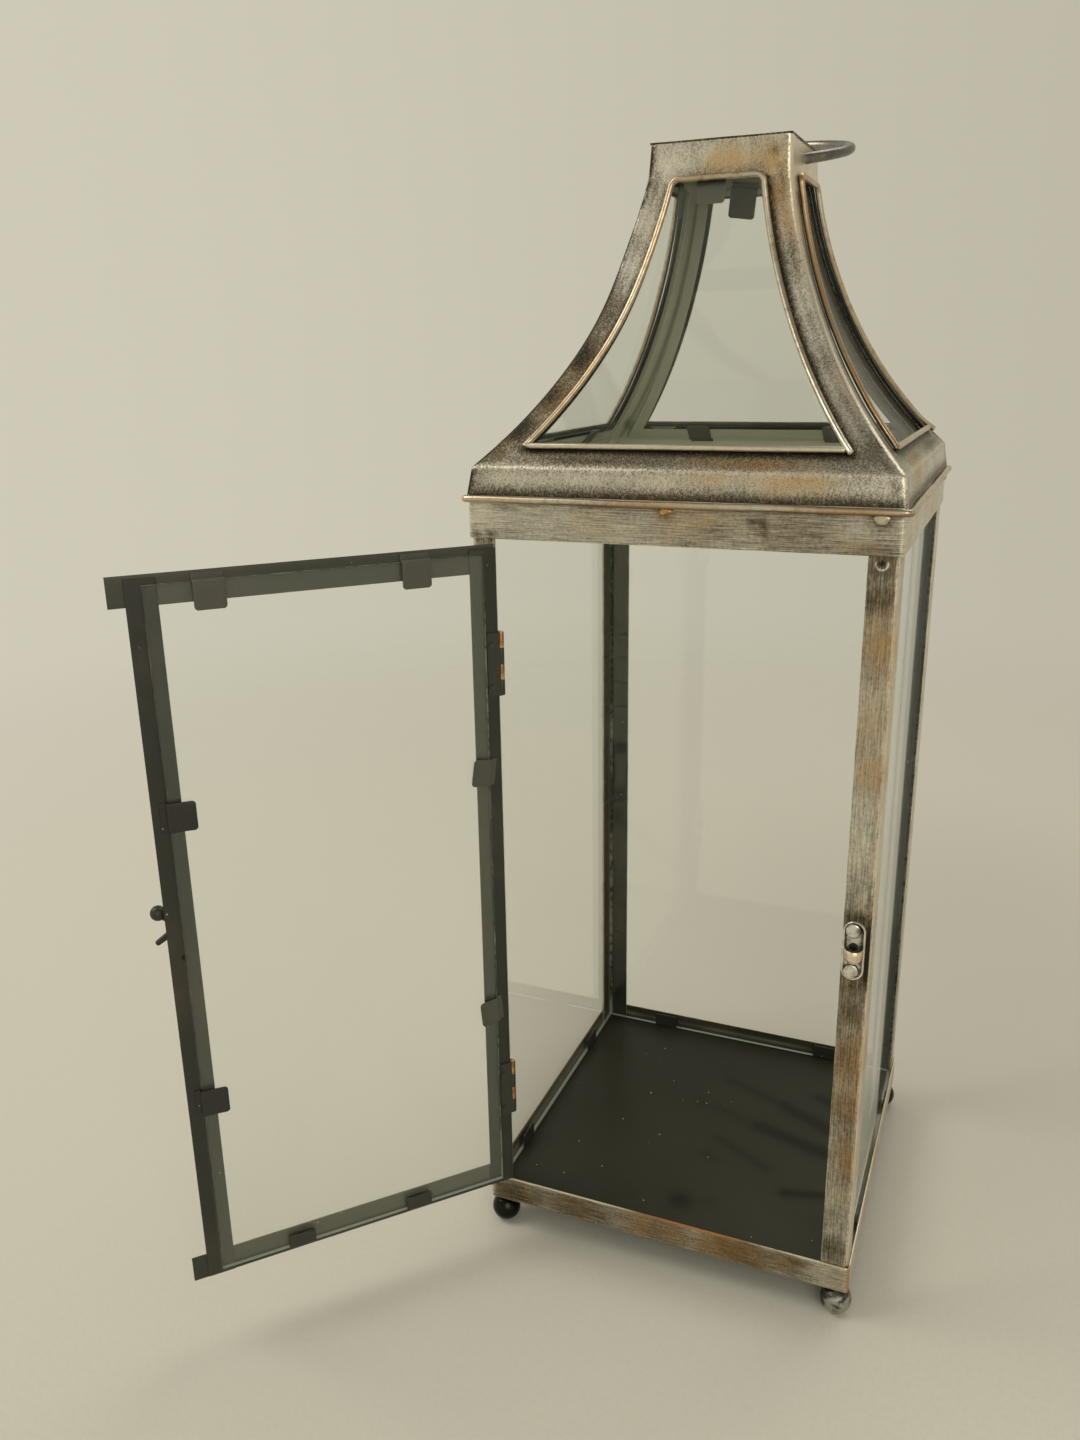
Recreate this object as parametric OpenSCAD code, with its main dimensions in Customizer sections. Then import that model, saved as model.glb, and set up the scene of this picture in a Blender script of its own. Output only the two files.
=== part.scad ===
// Candle lantern with a square sheet-metal body on ball feet. Three sides are glazed and the front is
// a glazed door on two butt hinges with a drop latch. The flared roof has four curved windows and a
// capped neck, and a loose carrying ring threads through the neck.
// The origin is the centre of the footprint on the surface it stands on, +Z is up and the door is at -Y.

/* [Body] */
// Outer width and depth of the square body
case_w = 200; // [180:1:230]
// Thickness of the strips and sheets of the frame
sheet_t = 1; // [0.8:0.1:1.2]
// Height of the band round the base
base_h = 15; // [13:0.5:22]
// Height of the clear opening between the base band and the header band
opening_h = 362; // [300:1:440]
// Height of the header band under the roof
header_h = 20.3; // [18:0.1:28]
// Width of the flanges of the corner posts
post_w = 13.5; // [12:0.5:16]
// Width of the front flange of the post that carries the hinges
hinge_post_w = 12.2; // [11:0.1:16]
// Depth of the floor sheet below the top of the base band
floor_drop = 9; // [6:0.5:11]
// Diameter of the wire round the top of the header band
wire_d = 3.2; // [2:0.1:4]

/* [Feet] */
// Diameter of each ball foot
foot_d = 16; // [13:0.5:22]
// Distance from the outer face of the body to the centre of a foot
foot_inset = 6.4; // [6:0.2:20]
// Depth of the flat on the underside of a foot
foot_flat = 0.3; // [0.2:0.1:1]
// Gap between a foot and the underside of the base band
foot_gap = 1.3; // [0.5:0.1:4]
// Diameter of the stud that fixes a foot to the floor sheet
foot_stud_d = 6; // [4:0.5:7]

/* [Panes] */
// Thickness of the glass
glass_t = 2; // [1.6:0.2:3]
// Height of glass hidden behind the header band
pane_lap = 10; // [4:0.5:14]
// Clearance between a side pane and the corner posts
pane_gap = 0.5; // [0.2:0.1:2]
// Thickness of the clips that hold the glass
clip_t = 0.6; // [0.4:0.1:0.8]
// Width of the clips that hold the side and back panes
pane_clip_w = 15; // [8:0.5:25]
// Distance from the middle of a pane to each of its clips
pane_clip_at = 55; // [30:1:70]
// Height of a bottom clip above the top of the base band
pane_clip_rise = 0.3; // [0:0.1:8]

/* [Roof] */
// Distance that the foot of the roof stands out past the body
roof_over = 0.6; // [0.2:0.1:0.7]
// Height of the skirt below the bend of the roof
skirt_h = 12.6; // [8:0.2:20]
// Distance that the skirt leans in over its height
skirt_lean = 2; // [0.5:0.5:5]
// Height of the curved part of the roof
roof_curve_h = 127; // [110:1:150]
// Width of the neck where the curve ends
neck_w = 66.8; // [60:0.2:80]
// Slope of the roof where the curve meets the neck, in degrees
neck_slope = 81.5; // [78:0.5:85]
// Height of the straight neck with its cap
neck_h = 15.3; // [14:0.1:24]
// Distance that each side of the neck leans in
neck_lean = 0.6; // [0.2:0.1:1.5]

/* [Roof windows] */
// Height of a window's lower edge above the bend of the roof
window_low = 8.6; // [8:0.2:16]
// Depth of a window's upper edge below the end of the curve
window_high = 1.6; // [1:0.2:10]
// Width of metal between a window and the ridges beside it
window_margin = 12.5; // [11:0.5:18]
// Radius of a window's upper corners
window_corner_r = 4; // [2:0.5:8]
// Diameter of the bead wire round a window
bead_d = 2.4; // [1.6:0.1:3]
// Width of glass hidden behind the metal beside and below a window
roof_glass_lap = 5.5; // [3:0.5:6.5]
// Width of glass hidden behind the metal above a window
roof_glass_top = 2.5; // [1:0.1:3]
// Width of the clips that hold the roof glass
roof_clip_w = 13.5; // [8:0.5:16]
// Length of a clip over the edge of the roof glass
roof_clip_lip = 8; // [5:0.5:12]
// Distance from the middle of a window to each of its lower clips
roof_clip_at = 39.5; // [20:0.5:45]

/* [Carrying ring] */
// Radius of the ring at the middle of its rod
ring_r = 47; // [42:0.5:60]
// Diameter of the rod
ring_rod_d = 5; // [4:0.2:6]
// Diameter of the holes in the neck
ring_hole_d = 9; // [8.4:0.2:10]
// Depth of the holes below the top of the roof
ring_hole_drop = 6.8; // [6.6:0.1:8]
// Distance of the holes behind the middle of the neck
ring_back = 2; // [0:0.5:4]
// Angle of the ring above horizontal behind the neck
ring_tilt = 12.5; // [-10:0.5:90]

/* [Door] */
// Angle at which the door stands open
door_open = 132.3; // [90:0.1:132.3]
// Width of the two upright stiles
stile_w = 13.4; // [10:0.2:18]
// Width of the top and bottom rails
rail_w = 13.6; // [10:0.2:18]
// Gap under the door
door_gap_low = 0.6; // [0.4:0.1:2]
// Gap above the door
door_gap_top = 2.4; // [1:0.1:4]
// Gap between the closed door and the latch post
door_gap_latch = 0.4; // [0.3:0.1:2]
// Length of the rail ends that stop against the latch post
ear_l = 7.1; // [4:0.1:12]
// Distance from the outer edge of a stile to the edge of the glass
door_glass_inset = 7; // [7:0.2:9]
// Distance from the outer edge of a rail to the edge of the glass
door_glass_drop = 4.4; // [4:0.2:6]
// Width of the clips that hold the door glass
door_clip_w = 14; // [8:0.5:20]
// Length of the top clips over the glass
clip_lip_top = 12.6; // [6:0.2:18]
// Length of the bottom clips over the glass
clip_lip_low = 7.2; // [5:0.2:16]
// Length of the clips over the glass on the latch side
clip_lip_latch = 12; // [6:0.2:18]
// Length of the clips over the glass on the hinge side
clip_lip_hinge = 9.8; // [6:0.2:18]

/* [Hinges] */
// Height of each hinge
hinge_h = 32; // [24:1:50]
// Distance from each end of the opening to the middle of a hinge
hinge_end = 61; // [40:1:90]
// Diameter of the hinge barrel
barrel_d = 2.9; // [2.7:0.1:3]
// Diameter of the hinge pin
pin_d = 1.5; // [1.2:0.1:1.6]
// Width of each hinge leaf from the pin's centre
leaf_w = 7.7; // [6.5:0.1:8.2]
// Thickness of the hinge leaves
leaf_t = 0.7; // [0.6:0.1:0.8]
// Distance from the pin's centre to the edge of the post and of the door
hinge_gap = 1.75; // [1.75:0.05:2.2]
// Diameter of the hinge rivets
hinge_rivet_d = 2.2; // [1.6:0.2:2.4]

/* [Latch] */
// Height of the latch pivot above the underside of the door
latch_up = 180.4; // [140:0.1:220]
// Angle by which the lever is lifted
latch_lift = 58.7; // [45:0.1:75]
// Distance from the pivot to the tip of the tooth
tooth_r = 13.6; // [13.2:0.1:14]
// Distance from the pivot to the middle of the knob
knob_r = 24; // [21:0.5:26]
// Diameter of the knob
knob_d = 7.2; // [5:0.2:7.4]
// Width of the lever
lever_w = 3.4; // [2.4:0.2:3.8]
// Thickness of the lever
lever_t = 1.8; // [1.2:0.1:1.8]
// Width of the tip of the tooth
tooth_w = 1.4; // [1:0.1:2]
// Diameter of the latch rivet
latch_rivet_d = 3; // [2:0.2:3.6]
// Distance from the edge of the latch post to the middle of the keeper
keeper_in = 5.3; // [5.2:0.1:6.4]
// Width of the keeper plate
keeper_w = 10.4; // [9.6:0.1:10.4]
// Height of the keeper plate
keeper_h = 30; // [29:0.5:36]
// Distance between the keeper rivets
keeper_pitch = 20.8; // [20:0.1:24]
// Diameter of the heads of the keeper rivets
keeper_rivet_d = 6.2; // [4:0.1:6.4]
// Radius of the hood in the middle of the keeper
hood_r = 4.3; // [4.2:0.1:4.4]

/* [Hidden] */
$fn = 96;
SIDES = ["front", "right", "back", "left"];
CORNERS = ["front_left", "front_right", "back_right", "back_left"];
HINGES = ["lower", "upper"];

pewter = "#8f8a80";
dark_paint = "#2e2d28";
glass_tint = [0.75, 0.85, 0.8, 0.35];
copper = "#a0622e";

fit = 0.02;            // radial gap round a fixed pin or rivet
pin_play = 0.05;       // radial gap between a hinge pin and the door's knuckles
knuckle_gap = 0.2;     // gap between neighbouring knuckles
seat_gap = 0.2;        // gap between a clip and the edge of its glass
swing_gap = 0.3;       // gap between the lever and what it passes over
cut = 1;               // overrun of a cutting tool

// Levels, from the surface up
foot_z = foot_d / 2 - foot_flat;
base_z = foot_d - foot_flat + foot_gap;
base_top = base_z + base_h;
floor_z = base_top - floor_drop;
header_z = base_top + opening_h;
header_top = header_z + header_h;
bend_z = header_top + skirt_h;
neck_z = bend_z + roof_curve_h;
roof_top = neck_z + neck_h;
pane_z = floor_z + clip_t;
pane_top = header_z + pane_lap;

// Distances from the middle of the body
half = case_w / 2;
band_in = half - sheet_t;
post_in = band_in - sheet_t;
pane_in = post_in - glass_t;
foot_at = half - foot_inset;

// Roof profile: an arc between the bend above the skirt and the neck
bend_q = half + roof_over - skirt_lean;
neck_q = neck_w / 2;
chord_angle = atan2(roof_curve_h, bend_q - neck_q);
bend_slope = 2 * chord_angle - neck_slope;
roof_r = norm([bend_q - neck_q, roof_curve_h]) / (2 * sin((neck_slope - bend_slope) / 2));
curve_q = neck_q + roof_r * sin(neck_slope);
curve_z = neck_z + roof_r * cos(neck_slope);
wall_top = roof_top - sheet_t;
window_z0 = bend_z + window_low;
window_z1 = neck_z - window_high;
bead_r = bead_d / 2;
rim = 0.4;             // metal that shows inside the middle of the bead
side_steps = 18;
corner_steps = 4;
bead_sides = 8;

// Carrying ring: its rod crosses the middle of the neck wall on the ring's axis
ring_z = roof_top - ring_hole_drop;
ring_wall_q = neck_q - neck_lean * (ring_z - neck_z) / (wall_top - neck_z) - sheet_t / 2;
ring_reach = sqrt(ring_r * ring_r - ring_wall_q * ring_wall_q);

// Door, drawn closed and turned open about the hinge axis
door_proud = 0.2;      // depth of the closed door's inner strips in front of the posts
rail_start = 2.5;      // distance from the hinge axis to the ends of the rails
stile_trim_low = 0.8;  // distance that the stiles stop short of the bottom rail's edge
stile_trim_top = 1.6;  // and of the top rail's edge
hinge_edge = -(band_in - hinge_post_w);
latch_edge = band_in - post_w;
hinge_x = hinge_edge + hinge_gap;
door_y = -band_in - door_proud;
hinge_y = door_y + sheet_t / 2;
stile_x0 = hinge_x + hinge_gap;
stile_x1 = latch_edge - door_gap_latch;
rail_x0 = hinge_x + rail_start;
rail_x1 = stile_x1 + ear_l;
door_z0 = base_top + door_gap_low;
door_z1 = header_z - door_gap_top;
door_w = stile_x1 - stile_x0;
door_h = door_z1 - door_z0;
stile_z0 = door_z0 + stile_trim_low;
stile_z1 = door_z1 - stile_trim_top;
door_glass_x0 = stile_x0 + door_glass_inset;
door_glass_x1 = stile_x1 - door_glass_inset;
door_glass_z0 = door_z0 + door_glass_drop;
door_glass_z1 = door_z1 - door_glass_drop;
stile_in = door_y + sheet_t;
clip_foot = 3.4;

// Places of the door's clips, as shares of its width or height
clips_top = [0.24, 0.795];
clips_low = [0.335, 0.715];
clips_latch = [0.285, 0.697];
clips_hinge = [0.312, 0.685];

// Hinges
barrel_r = barrel_d / 2;
pin_r = pin_d / 2;
knuckles = 4;
knuckle_h = hinge_h / knuckles;
hinge_levels = [base_top + hinge_end, header_z - hinge_end];
rivet_spread = hinge_h / 3;
rivet_edge = 1.6;
rivet_reach = leaf_w - rivet_edge;

// Latch and keeper
pivot_x = stile_x1 - stile_w / 2;
pivot_z = door_z0 + latch_up;
plate_y = -band_in - sheet_t;
rivet_head_t = 0.9;
lever_y = plate_y - rivet_head_t - swing_gap;
keeper_x = latch_edge + keeper_in;
tooth_drop = acos((keeper_x - pivot_x) / tooth_r);
knob_out = 2.1;        // depth of the knob's middle in front of the back of the lever
arm_angle = 9.8;       // angle of the arm above horizontal when the tooth is in the keeper
tooth_bite = 4.2;      // depth of the tooth inside the hood of the keeper
tooth_flare = 1;       // width that each side of the tooth gains towards the arm
hood_deep = 3.4;       // height of the straight part of the hood
hood_up = 1.1;         // height of the hood's opening above the middle of the keeper
hood_t = 0.5;
hood_top = pivot_z - tooth_r * sin(tooth_drop) + tooth_bite;
hood_low = hood_top - hood_deep;
slot_r = hood_r - 2;   // radius and height of the slot above the hood
slot_up = 3.2;
keeper_z = hood_top - hood_up;
keeper_shank_r = 1.5;
hub_r = lever_w / 2 + 1.1;
washer_r = lever_w / 2 + 0.6;

// ---- Helpers ----

// Solid outline of the roof, offset inwards by off: distance from the middle against height
module roof_area(off) {
    arc_r = roof_r + off;
    low = [curve_q - arc_r * sin(bend_slope), curve_z - arc_r * cos(bend_slope)];
    high = [curve_q - arc_r * sin(neck_slope), curve_z - arc_r * cos(neck_slope)];
    difference() {
        polygon([
            [0, header_top],
            [half + roof_over - off, header_top],
            low,
            high,
            [neck_q - neck_lean - off, wall_top],
            [0, wall_top]
        ]);
        intersection() {
            translate([curve_q, curve_z]) circle(r = arc_r, $fn = 240);
            translate([0, header_top]) square([case_w, high[1] - header_top]);
        }
    }
}

// Skin of the roof between two offsets and two heights
module roof_skin(off, thick, z0, z1) {
    intersection() {
        difference() {
            roof_area(off);
            roof_area(off + thick);
        }
        translate([0, z0]) square([case_w, z1 - z0]);
    }
}

// Carries an outline of distance and height along the front face
module along_front(width) {
    rotate([90, 0, -90]) linear_extrude(height = width, center = true) children();
}

// Pushes an outline seen from the front through the front half of the lantern
module through_front() {
    rotate([90, 0, 0]) linear_extrude(height = case_w) children();
}

// Space in front of both diagonal planes
module front_quarter() {
    linear_extrude(height = roof_top) polygon([[0, 0], [-case_w, -case_w], [case_w, -case_w]]);
}

// Half width of a window with the given margin at height z
function side_x(z, margin) = curve_q - sqrt(pow(roof_r + margin, 2) - pow(curve_z - z, 2));

// Right half of a window's outline, from the lower corner to the top edge
function half_outline(margin, z0, z1) =
    let (
        cz = z1 - window_corner_r,
        cx = side_x(cz, margin + window_corner_r),
        a0 = atan2(curve_z - cz, curve_q - cx),
        side_top = cz + window_corner_r * sin(a0)
    )
    concat(
        [for (i = [0 : side_steps - 1]) let (z = z0 + (side_top - z0) * i / side_steps) [side_x(z, margin), z]],
        [
            for (i = [0 : corner_steps])
            let (a = a0 + (90 - a0) * i / corner_steps)
            [cx + window_corner_r * cos(a), cz + window_corner_r * sin(a)]
        ]
    );

// Whole outline, anticlockwise from the lower right corner
function window_outline(margin, z0, z1) =
    let (h = half_outline(margin, z0, z1), n = len(h))
    concat(h, [for (i = [n - 1 : -1 : 0]) [-h[i][0], h[i][1]]]);

// Point and outward direction on the front of the roof, out proud of the sheet
function roof_point(p, out) = [p[0], sqrt(pow(roof_r - out, 2) - pow(curve_z - p[1], 2)) - curve_q, p[1]];
function roof_normal(v) = [0, -(curve_q + v[1]), curve_z - v[2]] / norm([curve_q + v[1], curve_z - v[2]]);
function unit(v) = v / norm(v);

// Ring of points round the bead where it passes corner b, mitred between its neighbours a and c
function bead_section(a, b, c) =
    let (
        into = unit(b - a),
        along = unit(into + unit(c - b)),
        side = unit(cross(roof_normal(b), along)),
        up = cross(along, side),
        mitre = 1 / max(0.5, along * into)
    )
    [
        for (j = [0 : bead_sides - 1])
        let (t = 360 * (j + 0.5) / bead_sides)
        b + bead_r * (mitre * cos(t) * side + sin(t) * up)
    ];

// Turns its children from the closed door to the open door
module on_door() {
    translate([hinge_x, hinge_y, 0]) rotate([0, 0, -door_open]) translate([-hinge_x, -hinge_y, 0]) children();
}

// Clip that stands on a strip, steps round the edge of a glass at X = 0 and lies on the glass by lip.
// The strip's face is at Y = 0 and the far face of the glass at Y = deep
module clip(width, lip, deep) {
    linear_extrude(height = width, center = true)
        polygon([
            [-clip_foot, 0],
            [-seat_gap, 0],
            [-seat_gap, deep],
            [lip, deep],
            [lip, deep + clip_t],
            [-seat_gap - clip_t, deep + clip_t],
            [-seat_gap - clip_t, clip_t],
            [-clip_foot, clip_t]
        ]);
}

// ---- Frame ----

module floor_plate() {
    color(dark_paint)
    difference() {
        translate([-band_in, -band_in, floor_z - sheet_t]) cube([2 * band_in, 2 * band_in, sheet_t]);
        for (k = [0 : 3]) corner_angle(k, floor_z - sheet_t - cut, floor_z + cut);
    }
}

// Band strip on one side, mitred at both ends
module band_rail(side, z, height) {
    color(pewter)
    rotate([0, 0, 90 * side])
        translate([0, 0, z])
        linear_extrude(height = height)
        polygon([[-half, -half], [half, -half], [band_in, -band_in], [-band_in, -band_in]]);
}

// Angle section in one corner, with a narrower flange where the hinges are
module corner_angle(corner, z0, z1) {
    front_w = corner == 0 ? hinge_post_w : post_w;
    rotate([0, 0, 90 * corner])
        translate([-band_in, -band_in, z0])
        linear_extrude(height = z1 - z0)
        polygon([
            [0, 0],
            [front_w, 0],
            [front_w, sheet_t],
            [sheet_t, sheet_t],
            [sheet_t, post_w],
            [0, post_w]
        ]);
}

module post(corner) {
    color(pewter)
    difference() {
        corner_angle(corner, base_z, header_top);
        if (corner == 0) hinge_rivet_holes(-1);
        if (corner == 1) keeper_rivet_axes() cylinder(r = keeper_shank_r + fit, h = 6 * sheet_t, center = true);
    }
}

module foot(corner) {
    color("#6f6c66")
    rotate([0, 0, 90 * corner])
        translate([-foot_at, -foot_at, 0])
        intersection() {
            union() {
                translate([0, 0, foot_z]) sphere(d = foot_d);
                translate([0, 0, foot_z]) cylinder(d = foot_stud_d, h = floor_z - sheet_t - foot_z);
            }
            cylinder(d = foot_d + cut, h = floor_z);
        }
}

module eave_wire() {
    r = wire_d / 2;
    at = half + r;
    color(pewter)
    translate([0, 0, header_top - r])
        union() {
            for (k = [0 : 3]) {
                rotate([0, 0, 90 * k]) translate([-at, -at, 0]) rotate([0, 90, 0]) cylinder(r = r, h = 2 * at);
                rotate([0, 0, 90 * k]) translate([-at, -at, 0]) sphere(r = r);
            }
        }
}

// Spots of solder under the wire, at the middle and at one end of each side
module solder_spots() {
    spot_r = 2;
    spot_out = 1.3;
    color(copper)
    for (k = [0 : 3], x = [-2.6, half - 9.6])
        rotate([0, 0, 90 * k])
            translate([x, -half, header_top - wire_d - 0.9])
            intersection() {
                translate([0, spot_r - spot_out, 0]) sphere(r = spot_r);
                translate([-spot_r, -spot_out, -spot_r]) cube([2 * spot_r, spot_out, spot_r + 0.9]);
            }
}

// ---- Panes ----

// Pane behind one side, between z limits, reaching across by half_w
module pane(side, half_w) {
    color(glass_tint)
    rotate([0, 0, 90 * side])
        translate([-half_w, -post_in, pane_z])
        cube([2 * half_w, glass_t, pane_top - pane_z]);
}

// Channel section that wraps one horizontal edge of a pane, standing up by rise from depth 0
module edge_clip(outer_h, inner_h) {
    outer = post_in + seat_gap + clip_t;
    inner = pane_in - clip_t;
    along_front(pane_clip_w)
        polygon([
            [outer, 0],
            [inner, 0],
            [inner, inner_h],
            [inner + clip_t, inner_h],
            [inner + clip_t, clip_t],
            [outer - clip_t, clip_t],
            [outer - clip_t, outer_h],
            [outer, outer_h]
        ]);
}

module pane_clips() {
    color(dark_paint)
    for (side = [1 : 3], x = [-pane_clip_at, pane_clip_at])
        rotate([0, 0, 90 * side])
            translate([x, 0, 0]) {
                translate([0, 0, floor_z]) edge_clip(floor_drop - 1, floor_drop + pane_clip_rise);
                translate([0, 0, pane_top + clip_t]) mirror([0, 0, 1]) edge_clip(pane_lap - 1, pane_lap - 1);
            }
}

// ---- Roof ----

module roof_panel(side) {
    color(pewter)
    difference() {
        rotate([0, 0, 90 * side])
            difference() {
                intersection() {
                    along_front(case_w + 4 * cut) roof_skin(0, sheet_t, header_top, wall_top);
                    front_quarter();
                }
                through_front()
                    polygon(window_outline(window_margin + rim, window_z0 + rim, window_z1 - rim));
            }
        if (side == 1 || side == 3)
            translate([-half, ring_back, ring_z]) rotate([0, 90, 0]) cylinder(d = ring_hole_d, h = case_w);
    }
}

module cap_plate() {
    w = 2 * (neck_q - neck_lean);
    color(pewter) translate([-w / 2, -w / 2, wall_top]) cube([w, w, sheet_t]);
}

module roof_glass(side) {
    margin = window_margin - roof_glass_lap;
    color(glass_tint)
    rotate([0, 0, 90 * side])
        intersection() {
            along_front(case_w) roof_skin(sheet_t, glass_t, header_top, wall_top);
            through_front()
                polygon(window_outline(margin, window_z0 - roof_glass_lap, window_z1 + roof_glass_top));
        }
}

module window_bead(side) {
    flat = window_outline(window_margin, window_z0, window_z1);
    path = [for (p = flat) roof_point(p, bead_r + fit)];
    n = len(path);
    rings = [for (i = [0 : n - 1]) bead_section(path[(i + n - 1) % n], path[i], path[(i + 1) % n])];
    color("#b5ab98")
    rotate([0, 0, 90 * side])
        polyhedron(
            points = [for (ring = rings) for (p = ring) p],
            faces = [
                for (i = [0 : n - 1], j = [0 : bead_sides - 1])
                let (i2 = (i + 1) % n, j2 = (j + 1) % bead_sides)
                [i * bead_sides + j, i2 * bead_sides + j, i2 * bead_sides + j2, i * bead_sides + j2]
            ]
        );
}

// Clip over the upper or lower edge of a roof glass: edge is the glass's edge, up is 1 over a lower edge
module roof_clip(edge, up) {
    back = sheet_t + glass_t;
    foot_l = 2.6;
    step = edge - up * seat_gap;
    span = [step - up * clip_t, edge + up * roof_clip_lip];
    foot = [step - up * foot_l, step];
    along_front(roof_clip_w) {
        roof_skin(back, clip_t, min(span), max(span));
        roof_skin(sheet_t, back + clip_t - sheet_t, min(span[0], step), max(span[0], step));
        roof_skin(sheet_t, clip_t, min(foot), max(foot));
    }
}

module roof_clips() {
    clip_past_hole = -(ring_hole_d + roof_clip_w) / 2 - ring_back - seat_gap;
    color(dark_paint)
    for (side = [0 : 3])
        rotate([0, 0, 90 * side]) {
            for (x = [-roof_clip_at, roof_clip_at])
                translate([x, 0, 0]) roof_clip(window_z0 - roof_glass_lap, 1);
            translate([side % 2 == 0 ? -4 : clip_past_hole, 0, 0]) roof_clip(window_z1 + roof_glass_top, -1);
        }
}

// ---- Carrying ring ----

module carrying_ring() {
    color("#98948c")
    translate([0, ring_back, ring_z])
        rotate([ring_tilt, 0, 0])
        translate([0, ring_reach, 0])
        rotate_extrude($fn = 128)
        translate([ring_r, 0])
        circle(d = ring_rod_d, $fn = 48);
}

// ---- Hinges ----

// Leaf whose knuckles are those with index first, first + 2; its plate lies at depth y behind the pin
module hinge_leaf(level, toward, y, bore_r, first) {
    z0 = hinge_levels[level] - hinge_h / 2;
    translate([hinge_x, hinge_y, z0])
    difference() {
        union() {
            translate([toward > 0 ? hinge_gap : -leaf_w, y, 0]) cube([leaf_w - hinge_gap, leaf_t, hinge_h]);
            for (k = [first : 2 : knuckles - 1])
                translate([0, 0, k * knuckle_h + knuckle_gap / 2]) {
                    cylinder(r = barrel_r, h = knuckle_h - knuckle_gap);
                    translate([toward > 0 ? 0 : -hinge_gap - cut, y, 0])
                        cube([hinge_gap + cut, leaf_t, knuckle_h - knuckle_gap]);
                }
        }
        translate([0, 0, -cut]) cylinder(r = bore_r, h = hinge_h + 2 * cut);
        rivet_places(toward) cylinder(r = hinge_rivet_d / 2 + fit, h = 4 * leaf_t, center = true);
    }
}

// Rivet positions of one leaf, with their axis along Y, from the foot of the hinge axis
module rivet_places(toward) {
    for (dz = [-rivet_spread, rivet_spread])
        translate([toward * rivet_reach, 0.5 + leaf_t, hinge_h / 2 + dz]) rotate([90, 0, 0]) children();
}

module hinge_frame_leaf(level) {
    color(copper) hinge_leaf(level, -1, -post_in - hinge_y, pin_r + fit, 1);
}

module hinge_door_leaf(level) {
    color(dark_paint) on_door() hinge_leaf(level, 1, stile_in - hinge_y, pin_r + pin_play, 0);
}

module hinge_pin(level) {
    color(copper)
    translate([hinge_x, hinge_y, hinge_levels[level] - hinge_h / 2]) cylinder(r = pin_r, h = hinge_h);
}

// Hinge rivets through strip and leaf, from the face of the strip at outer to the face of the leaf
module hinge_rivets(toward, outer, inner) {
    head_r = hinge_rivet_d / 2 + 0.7;
    head_t = 0.3;
    for (level = [0, 1], dz = [-rivet_spread, rivet_spread])
        translate([hinge_x + toward * rivet_reach, outer, hinge_levels[level] + dz])
            rotate([-90, 0, 0]) {
                cylinder(d = hinge_rivet_d, h = inner - outer);
                translate([0, 0, -head_t]) cylinder(r = head_r, h = head_t);
            }
}

// Holes for the hinge rivets in a strip
module hinge_rivet_holes(toward) {
    for (level = [0, 1], dz = [-rivet_spread, rivet_spread])
        translate([hinge_x + toward * rivet_reach, -half - cut, hinge_levels[level] + dz])
            rotate([-90, 0, 0]) cylinder(r = hinge_rivet_d / 2 + fit, h = sheet_t + 3 * cut);
}

module hinge_frame_rivets() {
    color(pewter) hinge_rivets(-1, -band_in, -post_in + leaf_t);
}

module hinge_door_rivets() {
    color(dark_paint) on_door() hinge_rivets(1, door_y, stile_in + leaf_t);
}

// ---- Door ----

module door_rail(z) {
    color(pewter)
    on_door() translate([rail_x0, door_y - sheet_t, z]) cube([rail_x1 - rail_x0, sheet_t, rail_w]);
}

module door_stile_hinge() {
    color(pewter)
    on_door()
        difference() {
            translate([stile_x0, door_y, stile_z0]) cube([stile_w, sheet_t, stile_z1 - stile_z0]);
            hinge_rivet_holes(1);
        }
}

module door_stile_latch() {
    color(pewter)
    on_door()
        difference() {
            translate([stile_x1 - stile_w, door_y, stile_z0]) cube([stile_w, sheet_t, stile_z1 - stile_z0]);
            latch_axis() cylinder(r = latch_rivet_d / 2 + fit, h = 6 * sheet_t, center = true);
        }
}

module door_glass() {
    color(glass_tint)
    on_door()
        translate([door_glass_x0, stile_in, door_glass_z0])
        cube([door_glass_x1 - door_glass_x0, glass_t, door_glass_z1 - door_glass_z0]);
}

module door_clips() {
    color(dark_paint)
    on_door() {
        for (at = clips_top)
            translate([stile_x0 + at * door_w, door_y, door_glass_z1])
                rotate([0, 90, 0]) clip(door_clip_w, clip_lip_top, sheet_t + glass_t);
        for (at = clips_low)
            translate([stile_x0 + at * door_w, door_y, door_glass_z0])
                rotate([0, -90, 0]) clip(door_clip_w, clip_lip_low, sheet_t + glass_t);
        for (at = clips_latch)
            translate([door_glass_x1, stile_in, door_z0 + at * door_h])
                mirror([1, 0, 0]) clip(door_clip_w, clip_lip_latch, glass_t);
        for (at = clips_hinge)
            translate([door_glass_x0, stile_in, door_z0 + at * door_h])
                clip(door_clip_w, clip_lip_hinge, glass_t);
    }
}

// ---- Latch ----

// Latch axis of the closed door, pointing outwards
module latch_axis() {
    translate([pivot_x, door_y, pivot_z]) rotate([90, 0, 0]) children();
}

module latch_rivet() {
    out = door_y - lever_y;
    head_t = 0.8;
    color("#55524b")
    on_door()
        latch_axis() {
            translate([0, 0, -sheet_t]) cylinder(d = latch_rivet_d, h = sheet_t + out + lever_t + swing_gap);
            cylinder(r = washer_r, h = out - swing_gap);
            translate([0, 0, out + lever_t + pin_play]) cylinder(r = washer_r, h = head_t);
        }
}

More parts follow.
